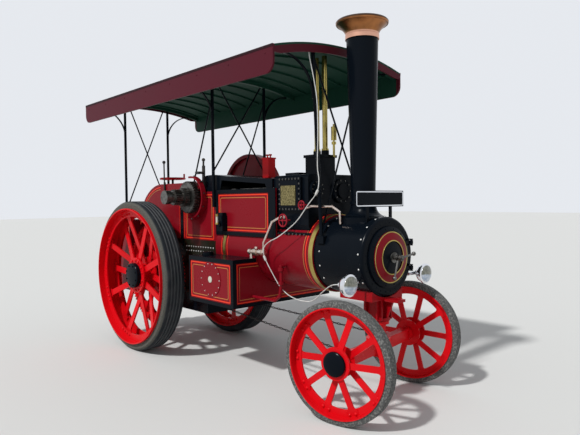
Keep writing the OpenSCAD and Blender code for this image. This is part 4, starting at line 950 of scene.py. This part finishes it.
# Gear guard bolts, and the flywheel's lines
GUARD_R = 0.2222
GUARD_Y = -0.365
places = []
for degrees in (-95, -60, -25, 10, 45, 80):
    a = math.radians(degrees)
    at = CRANK + Vector(on_side(0, GUARD_Y, 0, GUARD_R, a))
    places.append((at, (math.cos(a), 0, math.sin(a))))
nuts("guard_bolts", places, 0.009, FINISH["steel"], "engine")
FLYWHEEL_LINES = (
    ("outer", 0.468, 0.480, 0.008, ORANGE_LINE),
    ("inner", 0.140, 0.445, 0.006, GOLD_LINE),
)
for tag, r, y, width, finish in FLYWHEEL_LINES:
    ring_line(
        f"flywheel_line_{tag}", r, (CRANK.x, y, CRANK.z), (0, 1, 0), width, finish, "crankshaft",
    )

# Tender lining
TENDER_SIDE_PANEL = (-TENDER_BACK, 0.560, -0.610, 1.420)
TENDER_BACK_PANEL = (-TENDER_Y, 0.740, TENDER_Y, 1.420)
for side, word in SIDES:
    lined_panel(
        f"tender_side_lining_{word}", side_plane(TENDER_Y, side), TENDER_SIDE_PANEL, 0.030,
    )
lined_panel("tender_back_lining", end_plane(REAR_X - TENDER_BACK, -1), TENDER_BACK_PANEL, 0.030)

# Canopy: thin ribs under the boarding, lipped edges and board bolts
ROOF_R = (ROOF_HALF ** 2 + ROOF_RISE ** 2) / (2 * ROOF_RISE)
ROOF_CENTRE = ROOF_SIDE_Z + ROOF_RISE - ROOF_R
ROOF_BOARDING = 0.0163
RIB_HALF_W = 0.009
RIB_DEPTH = 0.016
RIB_REACH = 0.740
RIB_STEPS = 28
RIB_FIRST_AHEAD = -0.860
RIB_PITCH = 0.270


def roof_rib(name, x):
    """A thin rib across the roof, under its boarding and following its curve."""
    points, faces = [], []
    top = ROOF_R - ROOF_BOARDING
    for i in range(RIB_STEPS + 1):
        y = -RIB_REACH + 2 * RIB_REACH * i / RIB_STEPS
        a = math.asin(y / ROOF_R)
        for r in (top - RIB_DEPTH, top):
            z = ROOF_CENTRE + r * math.cos(a)
            points += [(x - RIB_HALF_W, r * math.sin(a), z), (x + RIB_HALF_W, r * math.sin(a), z)]
    for i in range(RIB_STEPS):
        a = 4 * i
        b = a + 4
        for k, m in ((0, 1), (1, 3), (3, 2), (2, 0)):
            faces.append((a + k, b + k, b + m, a + m))
    faces += [(0, 1, 3, 2), tuple(4 * RIB_STEPS + k for k in (2, 3, 1, 0))]
    return piece(name, points, faces, FINISH["green_paint"], "engine")


for i in range(13):
    ahead = RIB_FIRST_AHEAD + RIB_PITCH * i
    if min(abs(ahead - rib) for rib in CANOPY_RIBS_AHEAD) > 0.05:
        roof_rib(f"roof_rib_{i}", REAR_X + ahead)
for side, word in SIDES:
    board = side_plane(CANOPY_Y, side)
    edge = [(ahead, ROOF_SIDE_Z - 0.010) for ahead in CANOPY_SPAN]
    stripe(
        f"roof_lip_{word}", edge, board, 0.022, ROOF_EDGE, "engine",
        closed=False, rise=0.002,
    )
    row = [(board(-0.90 + 0.48 * i, 2.770, 0), (0, side, 0)) for i in range(8)]
    studs(f"board_bolts_{word}", row, 0.007, BOARD_PAINT, "engine", sides=8)

# Chain links in place of the plain chain bars
LINK_PITCH = 0.040
LINK_OVERLAP = 0.013
LINK_W = 0.022
LINK_WIRE = 0.0038
CHAIN_TAIL_AHEAD = 1.110
CHAIN_TAIL_Y = 0.200
CHAIN_TAIL_Z = 0.531


def oval_link(centre, run, up, length, points, faces):
    """One oval ring of round wire."""
    run = run.normalized()
    side = run.cross(up).normalized()
    over = run.cross(side).normalized()
    steps, sides = 20, 8
    first = len(points)
    for a in around(steps):
        ahead = run * (math.cos(a) * (length / 2 - LINK_WIRE))
        here = centre + ahead + side * (math.sin(a) * (LINK_W / 2 - LINK_WIRE))
        out = (run * math.cos(a) * LINK_W + side * math.sin(a) * length).normalized()
        for b in around(sides):
            points.append(here + LINK_WIRE * (math.cos(b) * out + math.sin(b) * over))
    for i in range(steps):
        for k in range(sides):
            m = (k + 1) % sides
            a = first + i * sides
            b = first + ((i + 1) % steps) * sides
            faces.append((a + k, a + m, b + m, b + k))


for side, word in SIDES:
    eye = on_front(-CHAIN_EYE_BACK, side * CHAIN_EYE_Y)
    run = Vector((REAR_X + CHAIN_TAIL_AHEAD, side * CHAIN_TAIL_Y, CHAIN_TAIL_Z)) - eye
    count = int(run.length / LINK_PITCH)
    length = run.length / count + LINK_OVERLAP
    points, faces = [], []
    for i in range(count):
        up = Vector((0, 0, 1)) if i % 2 == 0 else Vector((0, 1, 0))
        oval_link(eye + run * ((i + 0.5) / count), run, up, length, points, faces)
    piece(
        f"steering_chain_links_{word}", points, faces, FINISH["iron"], f"chain_{word}",
        smooth=True, replaces=[f"steering_chain_{word}"],
    )

# Floor
FLOOR_HALF = 60
floor = bpy.data.meshes.new("floor")
corners = [(x * FLOOR_HALF, y * FLOOR_HALF, 0) for x, y in ((-1, -1), (1, -1), (1, 1), (-1, 1))]
floor.from_pydata(corners, [], [(0, 1, 2, 3)])
floor.materials.append(Finish("floor", 0.9).paint(Base_Color=(0.62, 0.62, 0.60)).material)
floor_object = bpy.data.objects.new("floor", floor)
bpy.context.scene.collection.objects.link(floor_object)

# Sky: bright where it is seen or mirrored, and dimmer where it only lights
SKY_LIGHT = 0.5
SKY_SEEN = 0.86
world = bpy.data.worlds.new("world")
bpy.context.scene.world = world
world.use_nodes = True
sky = world.node_tree


def larger(first, second):
    """The larger of two outputs in the sky's tree."""
    node = sky.nodes.new("ShaderNodeMath")
    node.operation = "MAXIMUM"
    sky.links.new(first, node.inputs[0])
    sky.links.new(second, node.inputs[1])
    return node.outputs[0]


ray = sky.nodes.new("ShaderNodeLightPath").outputs
strength = sky.nodes.new("ShaderNodeMapRange")
strength.inputs["To Min"].default_value = SKY_LIGHT
strength.inputs["To Max"].default_value = SKY_SEEN
seen = larger(larger(ray["Is Camera Ray"], ray["Is Glossy Ray"]), ray["Is Transmission Ray"])
sky.links.new(seen, strength.inputs["Value"])
sky.links.new(strength.outputs[0], sky.nodes["Background"].inputs["Strength"])
sky.nodes["Background"].inputs["Color"].default_value = (0.92, 0.95, 1.0, 1)

# Sun
SUN_STRENGTH = 2.9
SUN_FROM = Vector((0.02, -0.66, 0.75))
sun = bpy.data.lights.new("sun", "SUN")
sun.energy = SUN_STRENGTH
sun.angle = 0.06
sun_object = bpy.data.objects.new("sun", sun)
sun_object.rotation_mode = "QUATERNION"
sun_object.rotation_quaternion = SUN_FROM.to_track_quat("Z", "Y")
bpy.context.scene.collection.objects.link(sun_object)

bpy.context.scene.view_settings.view_transform = "Standard"
